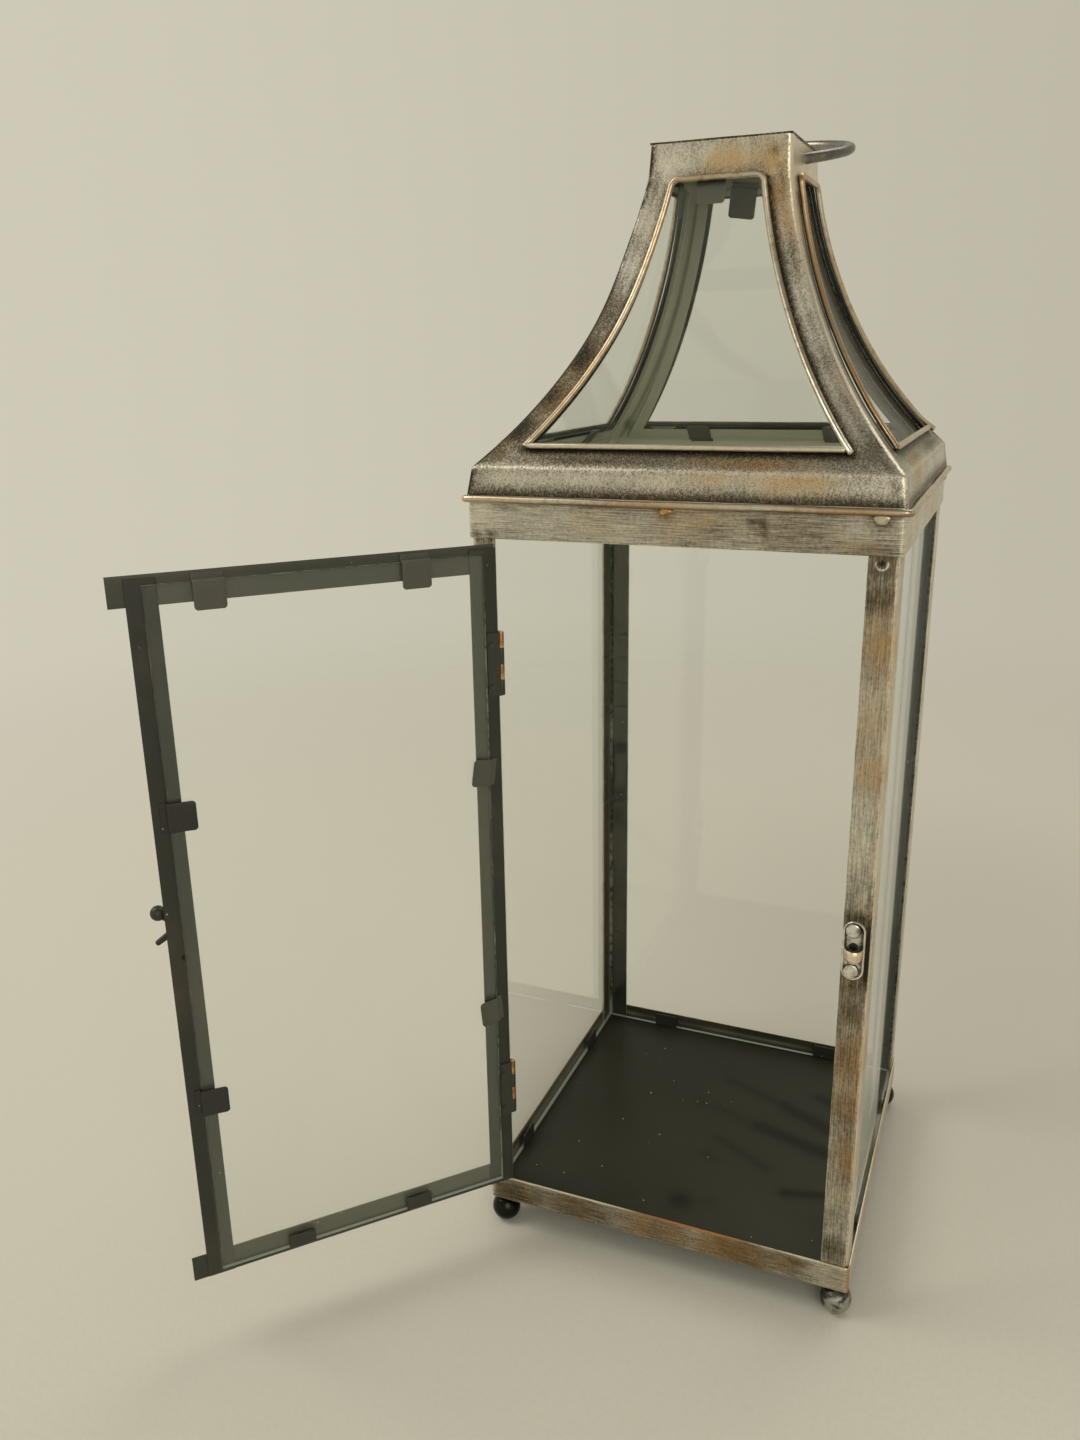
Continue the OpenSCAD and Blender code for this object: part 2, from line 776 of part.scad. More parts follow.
// Lever seen from outside the closed door, with its pivot at the origin and the tooth hanging down
module lever_outline() {
    reach = keeper_x - pivot_x;
    tip = tooth_w / 2;
    root = tip + tooth_flare;
    root_y = reach * tan(arm_angle);
    tip_y = -tooth_r * sin(tooth_drop);
    difference() {
        union() {
            circle(r = hub_r);
            rotate(arm_angle) translate([0, -lever_w / 2]) square([knob_r, lever_w]);
            polygon([[reach - tip, tip_y], [reach + tip, tip_y], [reach + root, root_y], [reach - root, root_y]]);
        }
        circle(r = latch_rivet_d / 2 + pin_play);
    }
}

module latch_lever() {
    color("#34332e")
    on_door()
        latch_axis()
        translate([0, 0, door_y - lever_y])
        rotate([0, 0, latch_lift]) {
            linear_extrude(height = lever_t) lever_outline();
            rotate([0, 0, arm_angle]) translate([knob_r, 0, knob_out]) sphere(d = knob_d);
        }
}

// ---- Keeper ----

// Half capsule that makes the hood of the keeper, open at its top
module hood_shape(r, extra = 0) {
    cylinder(r = r, h = hood_top - hood_low + extra);
    sphere(r = r);
}

module keeper_plate() {
    span = keeper_h - keeper_w;
    color("#a39a86")
    difference() {
        union() {
            translate([keeper_x, plate_y + sheet_t, keeper_z])
                rotate([90, 0, 0])
                linear_extrude(height = sheet_t) {
                    square([keeper_w, span], center = true);
                    for (s = [-1, 1]) translate([0, s * span / 2]) circle(d = keeper_w);
                }
            intersection() {
                translate([keeper_x, plate_y, hood_low]) hood_shape(hood_r);
                translate([0, plate_y - case_w, 0]) cube([case_w, case_w, roof_top]);
            }
        }
        translate([keeper_x, plate_y, hood_low]) hood_shape(hood_r - hood_t, cut);
        translate([keeper_x, plate_y, hood_low]) cylinder(r = slot_r, h = hood_top - hood_low + slot_up);
        keeper_rivet_axes() cylinder(r = keeper_shank_r + fit, h = 3 * sheet_t, center = true);
    }
}

module keeper_rivet_axes() {
    for (s = [-1, 1])
        translate([keeper_x, plate_y, keeper_z + s * keeper_pitch / 2]) rotate([90, 0, 0]) children();
}

module keeper_rivets() {
    color("#b9b3a6")
    keeper_rivet_axes() {
        cylinder(d = keeper_rivet_d, h = rivet_head_t);
        translate([0, 0, -2 * sheet_t]) cylinder(r = keeper_shank_r, h = 2 * sheet_t + fit);
    }
}

// ---- Nodes ----

floor_plate();
eave_wire();
solder_spots();
cap_plate();
pane_clips();
roof_clips();
for (k = [0 : 3]) {
    band_rail(k, base_z, base_h);
    band_rail(k, header_z, header_h);
    post(k);
    foot(k);
    roof_panel(k);
    roof_glass(k);
    window_bead(k);
}
pane(1, post_in - pane_gap);  // pane_right
pane(2, pane_in - seat_gap);  // pane_back
pane(3, post_in - pane_gap);  // pane_left
carrying_ring();
for (k = [0 : 1]) {
    hinge_frame_leaf(k);
    hinge_door_leaf(k);
    hinge_pin(k);
}
hinge_frame_rivets();
hinge_door_rivets();
keeper_plate();
keeper_rivets();
door_rail(door_z1 - rail_w);  // door_rail_top
door_rail(door_z0);  // door_rail_bottom
door_stile_hinge();
door_stile_latch();
door_glass();
door_clips();
latch_lever();
latch_rivet();
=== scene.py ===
import math

import bpy
import numpy as np
from mathutils import Matrix, Vector


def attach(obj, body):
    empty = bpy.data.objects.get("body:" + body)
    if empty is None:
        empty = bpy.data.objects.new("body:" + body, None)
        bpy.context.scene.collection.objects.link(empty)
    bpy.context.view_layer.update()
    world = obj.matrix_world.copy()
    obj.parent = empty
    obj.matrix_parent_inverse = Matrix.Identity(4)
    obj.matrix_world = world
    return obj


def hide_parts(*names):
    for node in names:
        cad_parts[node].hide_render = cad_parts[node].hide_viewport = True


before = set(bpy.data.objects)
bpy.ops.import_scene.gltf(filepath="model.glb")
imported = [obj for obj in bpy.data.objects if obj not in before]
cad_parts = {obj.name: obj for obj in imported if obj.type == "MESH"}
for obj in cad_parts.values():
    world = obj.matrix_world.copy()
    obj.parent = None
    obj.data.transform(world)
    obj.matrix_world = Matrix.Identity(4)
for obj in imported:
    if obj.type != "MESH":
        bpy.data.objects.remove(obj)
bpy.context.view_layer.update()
print("stage: frame loaded")

mm = 0.001


class Shape:
    # points in millimetres, four-sided faces with their own UV, flat end caps, and values that vary over the points
    def __init__(self, points, quads, uv=None, caps=(), slots=None, fields=None):
        self.points = np.asarray(points, float).reshape(-1, 3)
        self.quads = np.asarray(quads, int).reshape(-1, 4)
        self.uv = np.zeros((len(self.quads), 4, 2)) if uv is None else np.asarray(uv, float)
        self.caps = [list(c) for c in caps]
        self.slots = np.zeros(len(self.quads), int) if slots is None else np.asarray(slots, int)
        self.capSlot = 0
        self.fields = dict(fields or {})

    # turns the faces outwards: the volume enclosed has to come out positive
    def outward(self):
        p, q = self.points - self.points.mean(0), self.quads
        a, b, c, d = (p[q[:, k]] for k in range(4))
        volume = np.sum(a * np.cross(b, c)) + np.sum(a * np.cross(c, d))
        for cap in self.caps:
            for k in range(1, len(cap) - 1):
                volume += np.dot(p[cap[0]], np.cross(p[cap[k]], p[cap[k + 1]]))
        if volume < 0:
            self.quads, self.uv = self.quads[:, ::-1], self.uv[:, ::-1]
            self.caps = [c[::-1] for c in self.caps]
        return self

    def moved(self, matrix):
        m = np.array(matrix, float)
        copy = Shape(self.points @ m[:3, :3].T + m[:3, 3], self.quads, self.uv, self.caps, self.slots, self.fields)
        copy.capSlot = self.capSlot
        return copy


def join(shapes):
    points, quads, uv, caps, slots, at = [], [], [], [], [], 0
    names = set().union(*[s.fields for s in shapes])
    fields = {n: np.concatenate([s.fields.get(n, np.zeros(len(s.points))) for s in shapes]) for n in names}
    for s in shapes:
        points.append(s.points)
        quads.append(s.quads + at)
        uv.append(s.uv)
        slots.append(s.slots)
        caps += [[i + at for i in c] for c in s.caps]
        at += len(s.points)
    points, quads, uv, slots = (np.concatenate(rows) for rows in (points, quads, uv, slots))
    out = Shape(points, quads, uv, caps, slots, fields)
    out.capSlot = shapes[0].capSlot
    return out


# quads between the neighbours of a rows by columns grid, and their corners' UV from the two lengths given
def gridQuads(rows, cols, closeRows, closeCols, u, v):
    rowSteps, colSteps = rows - (not closeRows), cols - (not closeCols)
    i, j = (k.ravel() for k in np.meshgrid(np.arange(rowSteps), np.arange(colSteps), indexing="ij"))
    i2, j2 = (i + 1) % rows, (j + 1) % cols
    quads = np.stack([i * cols + j, i * cols + j2, i2 * cols + j2, i2 * cols + j], 1)
    corners = ((i, j), (i, j + 1), (i + 1, j + 1), (i + 1, j))
    uv = np.stack([np.stack([u[a], v[b]], 1) for a, b in corners], 1)
    return quads, uv


# grid over two lists of coordinates, its quads and their UV
def flatGrid(x, y):
    return *np.meshgrid(x, y, indexing="ij"), *gridQuads(len(x), len(y), False, False, x, y)


# distance along a path up to each of its points
def lengths(points, closed=False):
    p = np.vstack([points, points[:1]]) if closed else points
    return np.concatenate([[0], np.cumsum(np.linalg.norm(np.diff(p, axis=0), axis=1))])


# profile carried along a path: path point + profile x * side + profile y * up, closed across the path
def sweep(path, side, up, profile, closed=False, offset=0.0, slots=None):
    path = np.asarray(path, float)
    n = len(path)
    side, up = np.broadcast_to(side, (n, 3)), np.broadcast_to(up, (n, 3))
    profile = np.broadcast_to(profile, (n,) + np.shape(profile)[-2:])
    m = profile.shape[1]
    points = path[:, None] + profile[..., :1] * side[:, None] + profile[..., 1:] * up[:, None]
    u, v = lengths(path, closed) + offset, lengths(profile[n // 2], True)
    quads, uv = gridQuads(n, m, closed, True, u, v)
    caps = [] if closed else [range(m)[::-1], range((n - 1) * m, n * m)]
    if slots is not None:
        slots = np.tile(slots, n if closed else n - 1)
    return Shape(points, quads, uv, caps, slots).outward()


# unit directions along a path, taken from its neighbours
def tangents(path, closed=False):
    p = np.asarray(path, float)
    t = np.roll(p, -1, 0) - np.roll(p, 1, 0)
    if not closed:
        t[0], t[-1] = p[1] - p[0], p[-1] - p[-2]
    return t / np.linalg.norm(t, axis=1)[:, None]


def unit(v):
    v = np.asarray(v, float)
    return v / np.linalg.norm(v, axis=-1, keepdims=True)


# round wire along a path; flat is a direction that the wire's cross-section starts from
def wire(path, radius, flat=(0, 0, 1), closed=False, sides=14):
    path = np.asarray(path, float)
    t = tangents(path, closed)
    side = unit(np.cross(t, flat))
    up = np.cross(side, t)
    a = np.arange(sides) * 2 * np.pi / sides
    circle = np.stack([np.cos(a), np.sin(a)], 1) * radius
    if closed:
        return sweep(path, side, up, circle, closed)
    steps = np.array([0, 0.3, 0.65, 0.92])  # a domed end in four rings
    share = np.sqrt(1 - (1 - steps) ** 2 * 0.98)
    scale = np.concatenate([share, np.ones(len(path) - 2), share[::-1]])
    bulge = radius * 0.5
    head = path[0] + t[0] * (steps[:, None] * bulge)
    tail = path[-1] - t[-1] * (steps[::-1, None] * bulge)
    line = np.vstack([head, path[1:-1], tail])
    side = np.vstack([np.repeat(side[:1], 4, 0), side[1:-1], np.repeat(side[-1:], 4, 0)])
    up = np.vstack([np.repeat(up[:1], 4, 0), up[1:-1], np.repeat(up[-1:], 4, 0)])
    return sweep(line, side, up, scale[:, None, None] * circle[None])


# polyline whose corners are arcs of the given radii, in the plane of the corner's two legs
def roundedPath(corners, radii, steps, closed=False):
    c = [np.asarray(p, float) for p in corners]
    radii = np.broadcast_to(radii, len(c))
    out = []
    for k, p in enumerate(c):
        if not closed and k in (0, len(c) - 1) or radii[k] <= 0:
            out.append(p)
            continue
        a, b = unit(c[k - 1] - p), unit(c[(k + 1) % len(c)] - p)
        half = math.acos(np.clip(np.dot(a, b), -1, 1)) / 2
        if half > math.pi / 2 - 1e-3:
            out.append(p)
            continue
        middle = p + unit(a + b) * radii[k] / math.sin(half)
        reach = radii[k] / math.tan(half)
        start, end = p + a * reach - middle, p + b * reach - middle
        turn = math.pi - 2 * half
        for s in np.linspace(0, 1, steps + 1):
            out.append(middle + (math.sin((1 - s) * turn) * start + math.sin(s * turn) * end) / math.sin(turn))
    return np.array(out)


# points added along a path so that no step is longer than the given one
def denser(path, step, closed=False):
    p = np.asarray(path, float)
    ends = np.roll(p, -1, 0) if closed else p[1:]
    out = []
    for a, b in zip(p, ends):
        n = max(1, int(math.ceil(np.linalg.norm(b - a) / step)))
        out += [a + (b - a) * k / n for k in range(n)]
    return np.array(out if closed else out + [p[-1]])


# rectangle with rounded corners, anticlockwise from the right of its lower side, with points across its long sides
def roundedRect(w, t, r, across):
    out = []
    px, py = w / 2 - r, t / 2 - r
    corners = [(px, py, 0), (-px, py, 90), (-px, -py, 180), (px, -py, 270)]
    for k, (cx, cy, a0) in enumerate(corners):
        for a in np.radians(np.linspace(a0, a0 + 90, 4)):
            out.append((cx + r * math.cos(a), cy + r * math.sin(a)))
        if k in (0, 2):
            nx = corners[k + 1][0]
            out += [(cx + (nx - cx) * s, cy + (r if k == 0 else -r)) for s in np.arange(1, across) / across]
    return np.array(out)


# profile of radius and height turned about an axis, capped: centre + r (side cos a + up sin a) + h axis
def lathe(profile, centre, axis=(0, 0, 1), sides=32):
    axis = unit(axis)
    side = unit(np.cross(axis, (0, 0, 1) if abs(axis[2]) < 0.9 else (1, 0, 0)))
    up = np.cross(axis, side)
    a = np.arange(sides) * 2 * np.pi / sides
    profile = np.asarray(profile, float)
    r, h = np.maximum(profile[:, 0], 1e-4), profile[:, 1]
    ring = np.cos(a)[:, None] * side + np.sin(a)[:, None] * up
    points = np.asarray(centre, float) + r[:, None, None] * ring[None] + h[:, None, None] * axis
    quads, uv = gridQuads(len(r), sides, False, True, lengths(profile), np.append(a, 2 * np.pi) * r.max())
    caps = [range(sides)[::-1], range((len(r) - 1) * sides, len(r) * sides)]
    return Shape(points, quads, uv, caps).outward()


# ring turned from a closed profile about the upright axis
def turnedRing(profile, sides):
    shape = lathe(profile + profile[:1], (0, 0, 0), sides=sides)
    shape.caps = []
    return shape.outward()


# sheet with a second face at the given thickness behind it, and a rim along every open edge;
# slots are those of the face, its back and the rim
def thicken(points, quads, uv, thickness, slots=(0, 1, 1), inner=None):
    p = np.asarray(points, float).reshape(-1, 3)
    n = len(p)
    if inner is None:
        normal = np.zeros((n, 3))
        faceNormal = np.cross(p[quads[:, 2]] - p[quads[:, 0]], p[quads[:, 3]] - p[quads[:, 1]])
        for k in range(4):
            np.add.at(normal, quads[:, k], faceNormal)
        inner = p - unit(normal + 1e-12) * thickness
    edges = np.concatenate([quads[:, [k, (k + 1) % 4]] for k in range(4)])
    edgeUv = np.concatenate([uv[:, [k, (k + 1) % 4]] for k in range(4)])
    key = edges.min(1) * n + edges.max(1)
    _, first, count = np.unique(key, return_index=True, return_counts=True)
    lone = first[count == 1]
    a, b = edges[lone, 0], edges[lone, 1]
    rim = np.stack([b, a, a + n, b + n], 1)
    rimUv = edgeUv[lone][:, [1, 0, 0, 1]]
    allQuads = np.concatenate([quads, quads[:, ::-1] + n, rim])
    allUv = np.concatenate([uv, uv[:, ::-1], rimUv])
    face = np.repeat(slots, [len(quads), len(quads), len(rim)])
    used = np.zeros(2 * n, bool)
    used[allQuads.ravel()] = True
    index = np.cumsum(used) - 1
    shape = Shape(np.concatenate([p, inner])[used], index[allQuads], allUv, slots=face)
    shape.used = used  # which points of the face and its back are in the shape
    return shape.outward()


# k quarter turns about the upright axis
def turnZ(k):
    return Matrix.Rotation(math.radians(90 * k), 4, "Z")


class Value:
    # a socket that adds its own Math nodes when it is used in an expression
    def __init__(self, finish, socket):
        self.finish, self.socket = finish, socket

    def math(self, operation, *others):
        inputs = dict(enumerate([self.socket] + [o.socket if isinstance(o, Value) else o for o in others]))
        return self.finish.out("ShaderNodeMath", {"operation": operation}, inputs)

    def flipped(self, operation, other):
        inputs = {0: other.socket if isinstance(other, Value) else other, 1: self.socket}
        return self.finish.out("ShaderNodeMath", {"operation": operation}, inputs)

    __add__ = __radd__ = lambda self, o: self.math("ADD", o)
    __mul__ = __rmul__ = lambda self, o: self.math("MULTIPLY", o)
    __sub__ = lambda self, o: self.math("SUBTRACT", o)
    __rsub__ = lambda self, o: self.flipped("SUBTRACT", o)
    __pow__ = lambda self, o: self.math("POWER", o)

    # smooth rise from 0 at low to the given height at high
    def step(self, low, high, to=1.0):
        inputs = {"Value": self.socket, "From Min": low, "From Max": high, "To Min": 0.0, "To Max": to}
        return self.finish.out("ShaderNodeMapRange", {"interpolation_type": "SMOOTHSTEP"}, inputs)


class Finish:
    # one material, or the world, and the nodes in it
    def __init__(self, name, world=None):
        self.owner = world or bpy.data.materials.new(name)
        self.owner.use_nodes = True
        self.tree = self.owner.node_tree
        self.tree.nodes.clear()

    def node(self, kind, settings, inputs):
        n = self.tree.nodes.new(kind)
        for key, value in settings.items():
            setattr(n, key, value)
        for key, value in inputs.items():
            value = value.socket if isinstance(value, Value) else value
            if isinstance(value, bpy.types.NodeSocket):
                self.tree.links.new(value, n.inputs[key])
            else:
                n.inputs[key].default_value = value
        return n

    def out(self, kind, settings, inputs, output=0):
        return Value(self, self.node(kind, settings, inputs).outputs[output])

    def place(self, uv=False):
        return self.out("ShaderNodeTexCoord", {}, {}, "UV" if uv else "Object")

    def scaled(self, vector, scale):
        return self.out("ShaderNodeVectorMath", {"operation": "MULTIPLY"}, {0: vector, 1: scale})

    def noise(self, vector, scale, detail, roughness=0.5, distortion=0.0):
        inputs = {"Vector": vector, "Scale": scale, "Detail": detail, "Roughness": roughness}
        return self.out("ShaderNodeTexNoise", {}, {**inputs, "Distortion": distortion})

    def field(self, name):
        return self.out("ShaderNodeAttribute", {"attribute_name": name}, {}, "Fac")

    def mix(self, factor, a, b):
        a = (*a, 1) if isinstance(a, tuple) else a
        b = (*b, 1) if isinstance(b, tuple) else b
        return self.out("ShaderNodeMix", {"data_type": "RGBA"}, {0: factor, 6: a, 7: b}, 2)

    def bump(self, height, distance, strength):
        return self.out("ShaderNodeBump", {}, {"Height": height, "Distance": distance, "Strength": strength})

    # first surface where the share is 0, second where it is 1
    def blend(self, share, first, second):
        return self.node("ShaderNodeMixShader", {}, {0: share, 1: first, 2: second}).outputs[0]

    def shader(self, inputs):
        return self.node("ShaderNodeBsdfPrincipled", {}, inputs).outputs[0]

    def done(self, surface):
        self.node("ShaderNodeOutputMaterial", {}, {"Surface": surface})
        return self.owner


# colour as it is seen, 0 to 255, to the light values that a socket takes
def srgb(r, g, b):
    c = np.array([r, g, b]) / 255
    return tuple(float(v) for v in np.where(c <= 0.04045, c / 12.92, ((c + 0.055) / 1.055) ** 2.4))


metalTone = dict(
    silver=srgb(232, 226, 208),
    tan=srgb(206, 174, 126),
    shade=srgb(96, 88, 70),
    umber=srgb(132, 104, 66),
    black=srgb(50, 47, 39),
    cream=srgb(238, 227, 203),
    rust=srgb(196, 128, 70),
)


aged = dict(
    cloud=15.0, patch=85.0, warmth=22.0,  # scales of the slow changes, per metre
    brushFine=(70.0, 1500.0, 1.0), brushLong=(16.0, 520.0, 1.0), brushFleck=620.0,
    fleck=1250.0, fine=(900.0, 900.0, 380.0),
    metallic=0.92, roughness=0.36, depth=0.00009, strength=0.5,
)


# antiqued metal: silver flecks over dark metal, where noise and the fields pale and dark decide how many,
# brown tints both, edge is cream, polished wear and painted highlight along edges, and rust is copper showing through
def agedMetal(name, brushed, lift):
    f = Finish(name)
    at, uv = f.place(), f.place(uv=True)
    cloud = f.noise(at, aged["cloud"], 3.0, 0.6) - 0.5
    patch = f.noise(at, aged["patch"], 2.0, 0.55, 0.5) - 0.5
    if brushed:
        fine = f.noise(f.scaled(uv, aged["brushFine"]), 1.0, 3.0, 0.7) - 0.5
        streak = f.noise(f.scaled(uv, aged["brushLong"]), 1.0, 2.0, 0.6) - 0.5
        fleck = f.noise(at, aged["brushFleck"], 3.0, 0.75) - 0.5
        grit = fine * 2.2 + streak * 0.3 + fleck * 1.1
    else:
        fleck = f.noise(at, aged["fleck"], 2.0, 0.8) - 0.5
        fine = f.noise(f.scaled(at, aged["fine"]), 1.0, 2.0, 0.7) - 0.5
        grit = fleck * 2.2 + fine * 1.1
    pale, dark = f.field("pale"), f.field("dark")
    tone = pale * 0.75 - dark * 0.95 + cloud * 0.7 + patch * 0.45 + grit + lift
    silver = tone.step(-0.8, 1.0)
    warmth = f.noise(at, aged["warmth"], 3.0, 0.6) * 1.3 - 0.65
    warm = (f.field("brown") * 0.95 + warmth + patch * 0.7 + grit * 0.3).step(0.0, 1.15)
    low = f.mix(warm, metalTone["shade"], metalTone["umber"])
    high = f.mix(warm, metalTone["silver"], metalTone["tan"])
    low = f.mix((dark * 0.95 - grit * 0.6).step(0.55, 1.15), low, metalTone["black"])
    colour = f.mix(silver, low, high)
    edge = (f.field("edge") * 1.1 + grit * 0.5).step(0.35, 0.95)
    colour = f.mix(edge, colour, f.mix(warm * 0.5, metalTone["cream"], metalTone["tan"]))
    colour = f.mix((f.field("rust") + grit * 0.4).step(0.25, 0.9) * 0.85, colour, metalTone["rust"])
    return f.done(f.shader({
        "Base Color": colour,
        "Metallic": aged["metallic"],
        "Roughness": aged["roughness"] + (1 - silver) * 0.16 - edge * 0.08 + patch * 0.1,
        "Normal": f.bump(grit + patch * 0.5, aged["depth"], aged["strength"]),
    }))


paint = dict(
    base=srgb(42, 43, 33), veil=srgb(98, 98, 80), thin=srgb(84, 70, 50), bare=srgb(150, 126, 92),
    deep=srgb(14, 13, 10), dustColour=srgb(190, 188, 170),
    roughness=0.42, shine=0.45, dust=0.7, crinkle=260.0, depth=0.00022,
)


# black paint on sheet: thin and brown where clouds and the fields brown and pale add up, bare where worn, then the
# fields veil and dark laid over it and specks of dust in some cells of a pattern; the wrinkles are noise; on sheet
# behind the glass veil is a painted reflection of the glass
def blackPaint(name, **changes):
    look = {**paint, **changes}
    f = Finish(name)
    at = f.place()
    cloud = f.noise(at, 24.0, 3.0, 0.6)
    grain = f.noise(at, 1400.0, 2.0, 0.6)
    ripple = f.noise(at, look["crinkle"], 2.0, 0.5, 0.3)
    thin = (cloud * 1.2 - 0.25 + f.field("brown") * 0.7 + f.field("pale") * 0.35).step(0.5, 1.0)
    colour = f.mix(thin * 0.55, look["base"], look["thin"])
    worn = f.field("edge") + f.field("pale") * 0.9 + (grain - 0.5)
    colour = f.mix(worn.step(0.55, 1.1, 0.7), colour, look["bare"])
    colour = f.mix(f.field("veil"), colour, look["veil"])
    colour = f.mix(f.field("dark").step(0.2, 0.8), colour, look["deep"])
    speck = f.out("ShaderNodeTexVoronoi", {}, {"Vector": at, "Scale": 120.0, "Randomness": 1.0})
    spare = f.noise(at, 61.0, 0.0)  # only some cells of the pattern hold a speck
    dot = (1 - speck.step(0.03, 0.075)) * spare.step(0.47, 0.57)
    colour = f.mix(dot * look["dust"], colour, look["dustColour"])
    return f.done(f.shader({
        "Base Color": colour,
        "Roughness": look["roughness"] + (cloud - 0.5) * 0.3 + (grain - 0.5) * 0.15,
        "Specular IOR Level": look["shine"],
        "Normal": f.bump(ripple * 0.5 + grain * 0.35, look["depth"], 0.6),
    }))


glassLook = dict(
    tint=(0.983, 0.99, 0.982), roofTint=(0.974, 0.982, 0.972), mirror=(0.9, 0.93, 0.9, 1), least=0.035,
    dust=srgb(215, 210, 190), edgeDeep=srgb(62, 82, 64), edgeLight=srgb(188, 198, 182), edgeAlpha=0.75,
)


# clear pane: what is behind shows through a faint green tint, and the share that mirrors is
# least + most (1 - dark) facing^5, with a few specks of dust
def paneGlass(name, most, tint):
    f = Finish(name)
    at = f.place()
    clear = f.node("ShaderNodeBsdfTransparent", {}, {"Color": (*tint, 1)}).outputs[0]
    film = f.noise(at, 9.0, 2.0, 0.5, 0.5)
    mirror = f.shader({
        "Base Color": glassLook["mirror"],
        "Metallic": 1.0,
        "Roughness": 0.03,
        "Normal": f.bump(film, 0.0002, 0.2),
    })
    facing = f.out("ShaderNodeLayerWeight", {}, {"Blend": 0.5}, "Facing")
    share = facing ** 5.0 * most * (1 - f.field("dark")) + glassLook["least"]
    speck = f.out("ShaderNodeTexVoronoi", {}, {"Vector": at, "Scale": 42.0, "Randomness": 1.0})
    dot = (1 - speck.step(0.008, 0.02)) * f.noise(at, 37.0, 0.0).step(0.6, 0.66)
    dust = f.shader({"Base Color": (*glassLook["dust"], 1), "Roughness": 0.8})
    return f.done(f.blend(dot * 0.8, f.blend(share, clear, mirror), dust))


# the cut edge of a pane: green, with pale streaks of painted glint where the two noises and the field pale together
# pass a threshold
def glassEdge(name):
    f = Finish(name)
    at = f.place()
    band = f.noise(at, 300.0, 2.0, 0.6)
    run = f.noise(at, 34.0, 2.0, 0.6)
    bright = (band * 0.7 + run * 0.9 + f.field("pale") * 0.42 - 0.36).step(0.36, 0.7)
    colour = f.mix(bright, glassLook["edgeDeep"], glassLook["edgeLight"])
    return f.done(f.shader({"Base Color": colour, "Roughness": 0.2 + band * 0.2, "Alpha": glassLook["edgeAlpha"]}))


small = dict(cloud=260.0, grain=2200.0, metallic=0.95, depth=0.00008, brown=srgb(186, 142, 90))


# plain metal for wire, rivets, hinge barrels, ring and feet: base and second mixed by clouds, grain and the
# field dark, then brown, pale and rust laid over it in turn
def smallMetal(name, base, second, roughness, cloudScale=small["cloud"]):
    f = Finish(name)
    at = f.place()
    cloud = f.noise(at, cloudScale, 3.0, 0.65, 0.3)
    fine = f.noise(at, small["grain"], 2.0, 0.6)
    tone = (cloud + f.field("dark") * 0.9 + (fine - 0.5) * 0.5).step(0.4, 0.85)
    colour = f.mix(tone, base, second)
    colour = f.mix(f.field("brown") * (0.6 + cloud * 0.5), colour, small["brown"])
    colour = f.mix(f.field("pale") * (0.5 + fine * 0.6), colour, metalTone["cream"])
    colour = f.mix(f.field("rust").step(0.1, 0.9), colour, metalTone["rust"])
    return f.done(f.shader({
        "Base Color": colour,
        "Metallic": small["metallic"],
        "Roughness": roughness + (cloud - 0.5) * 0.25 + (fine - 0.5) * 0.12,
        "Normal": f.bump(fine * 0.5 + cloud, small["depth"], 0.5),
    }))


finish = dict(
    brushed=agedMetal("brushedMetal", True, 0.02),
    speckled=agedMetal("speckledMetal", False, 0.0),
    paint=blackPaint("blackPaint"),
    # veil colours: the pale painted reflection of the glass over the paint seen behind it
    insidePaint=blackPaint("insidePaint", base=srgb(52, 59, 44), roughness=0.5, dust=0.4, veil=srgb(204, 205, 178)),
    clipPaint=blackPaint("clipPaint", base=srgb(80, 79, 66), roughness=0.36, dust=0.9, crinkle=900.0, depth=0.0004),
    hingePaint=blackPaint("hingePaint", base=srgb(50, 50, 41), roughness=0.4, dust=0.9),
    lapPaint=blackPaint("lapPaint", base=srgb(48, 55, 42), roughness=0.2, dust=0.2, veil=srgb(190, 190, 164)),
    floorPaint=blackPaint(
        "floorPaint", base=srgb(42, 42, 31), roughness=0.34, dust=0.9, shine=0.14, crinkle=200.0, depth=0.00002
    ),
    glass=paneGlass("paneGlass", 0.9, glassLook["tint"]),
    roofGlass=paneGlass("roofGlass", 0.22, glassLook["roofTint"]),
    edge=glassEdge("glassEdge"),
    bead=smallMetal("beadWire", srgb(208, 200, 180), srgb(112, 98, 76), 0.34),
    copper=smallMetal("copperBarrel", srgb(232, 194, 142), srgb(158, 114, 70), 0.34),
    brass=smallMetal("brassHood", srgb(242, 226, 196), srgb(186, 162, 124), 0.34),
    keeper=smallMetal("keeperMetal", srgb(232, 230, 220), srgb(84, 80, 70), 0.3),
    solder=smallMetal("solderSpot", srgb(206, 198, 174), srgb(120, 106, 82), 0.38),
    copperSolder=smallMetal("copperSpot", srgb(214, 170, 116), srgb(128, 88, 52), 0.45),
    ring=smallMetal("ringSteel", srgb(140, 136, 128), srgb(98, 94, 86), 0.3, 120.0),
    ball=smallMetal("ballSteel", srgb(58, 57, 50), srgb(34, 34, 28), 0.22, 120.0),
    scuffed=smallMetal("scuffedBall", srgb(176, 175, 163), srgb(70, 69, 62), 0.38, 150.0),
)
print("stage: finishes made")

fieldNames = ("brown", "dark", "pale", "edge", "rust", "veil")


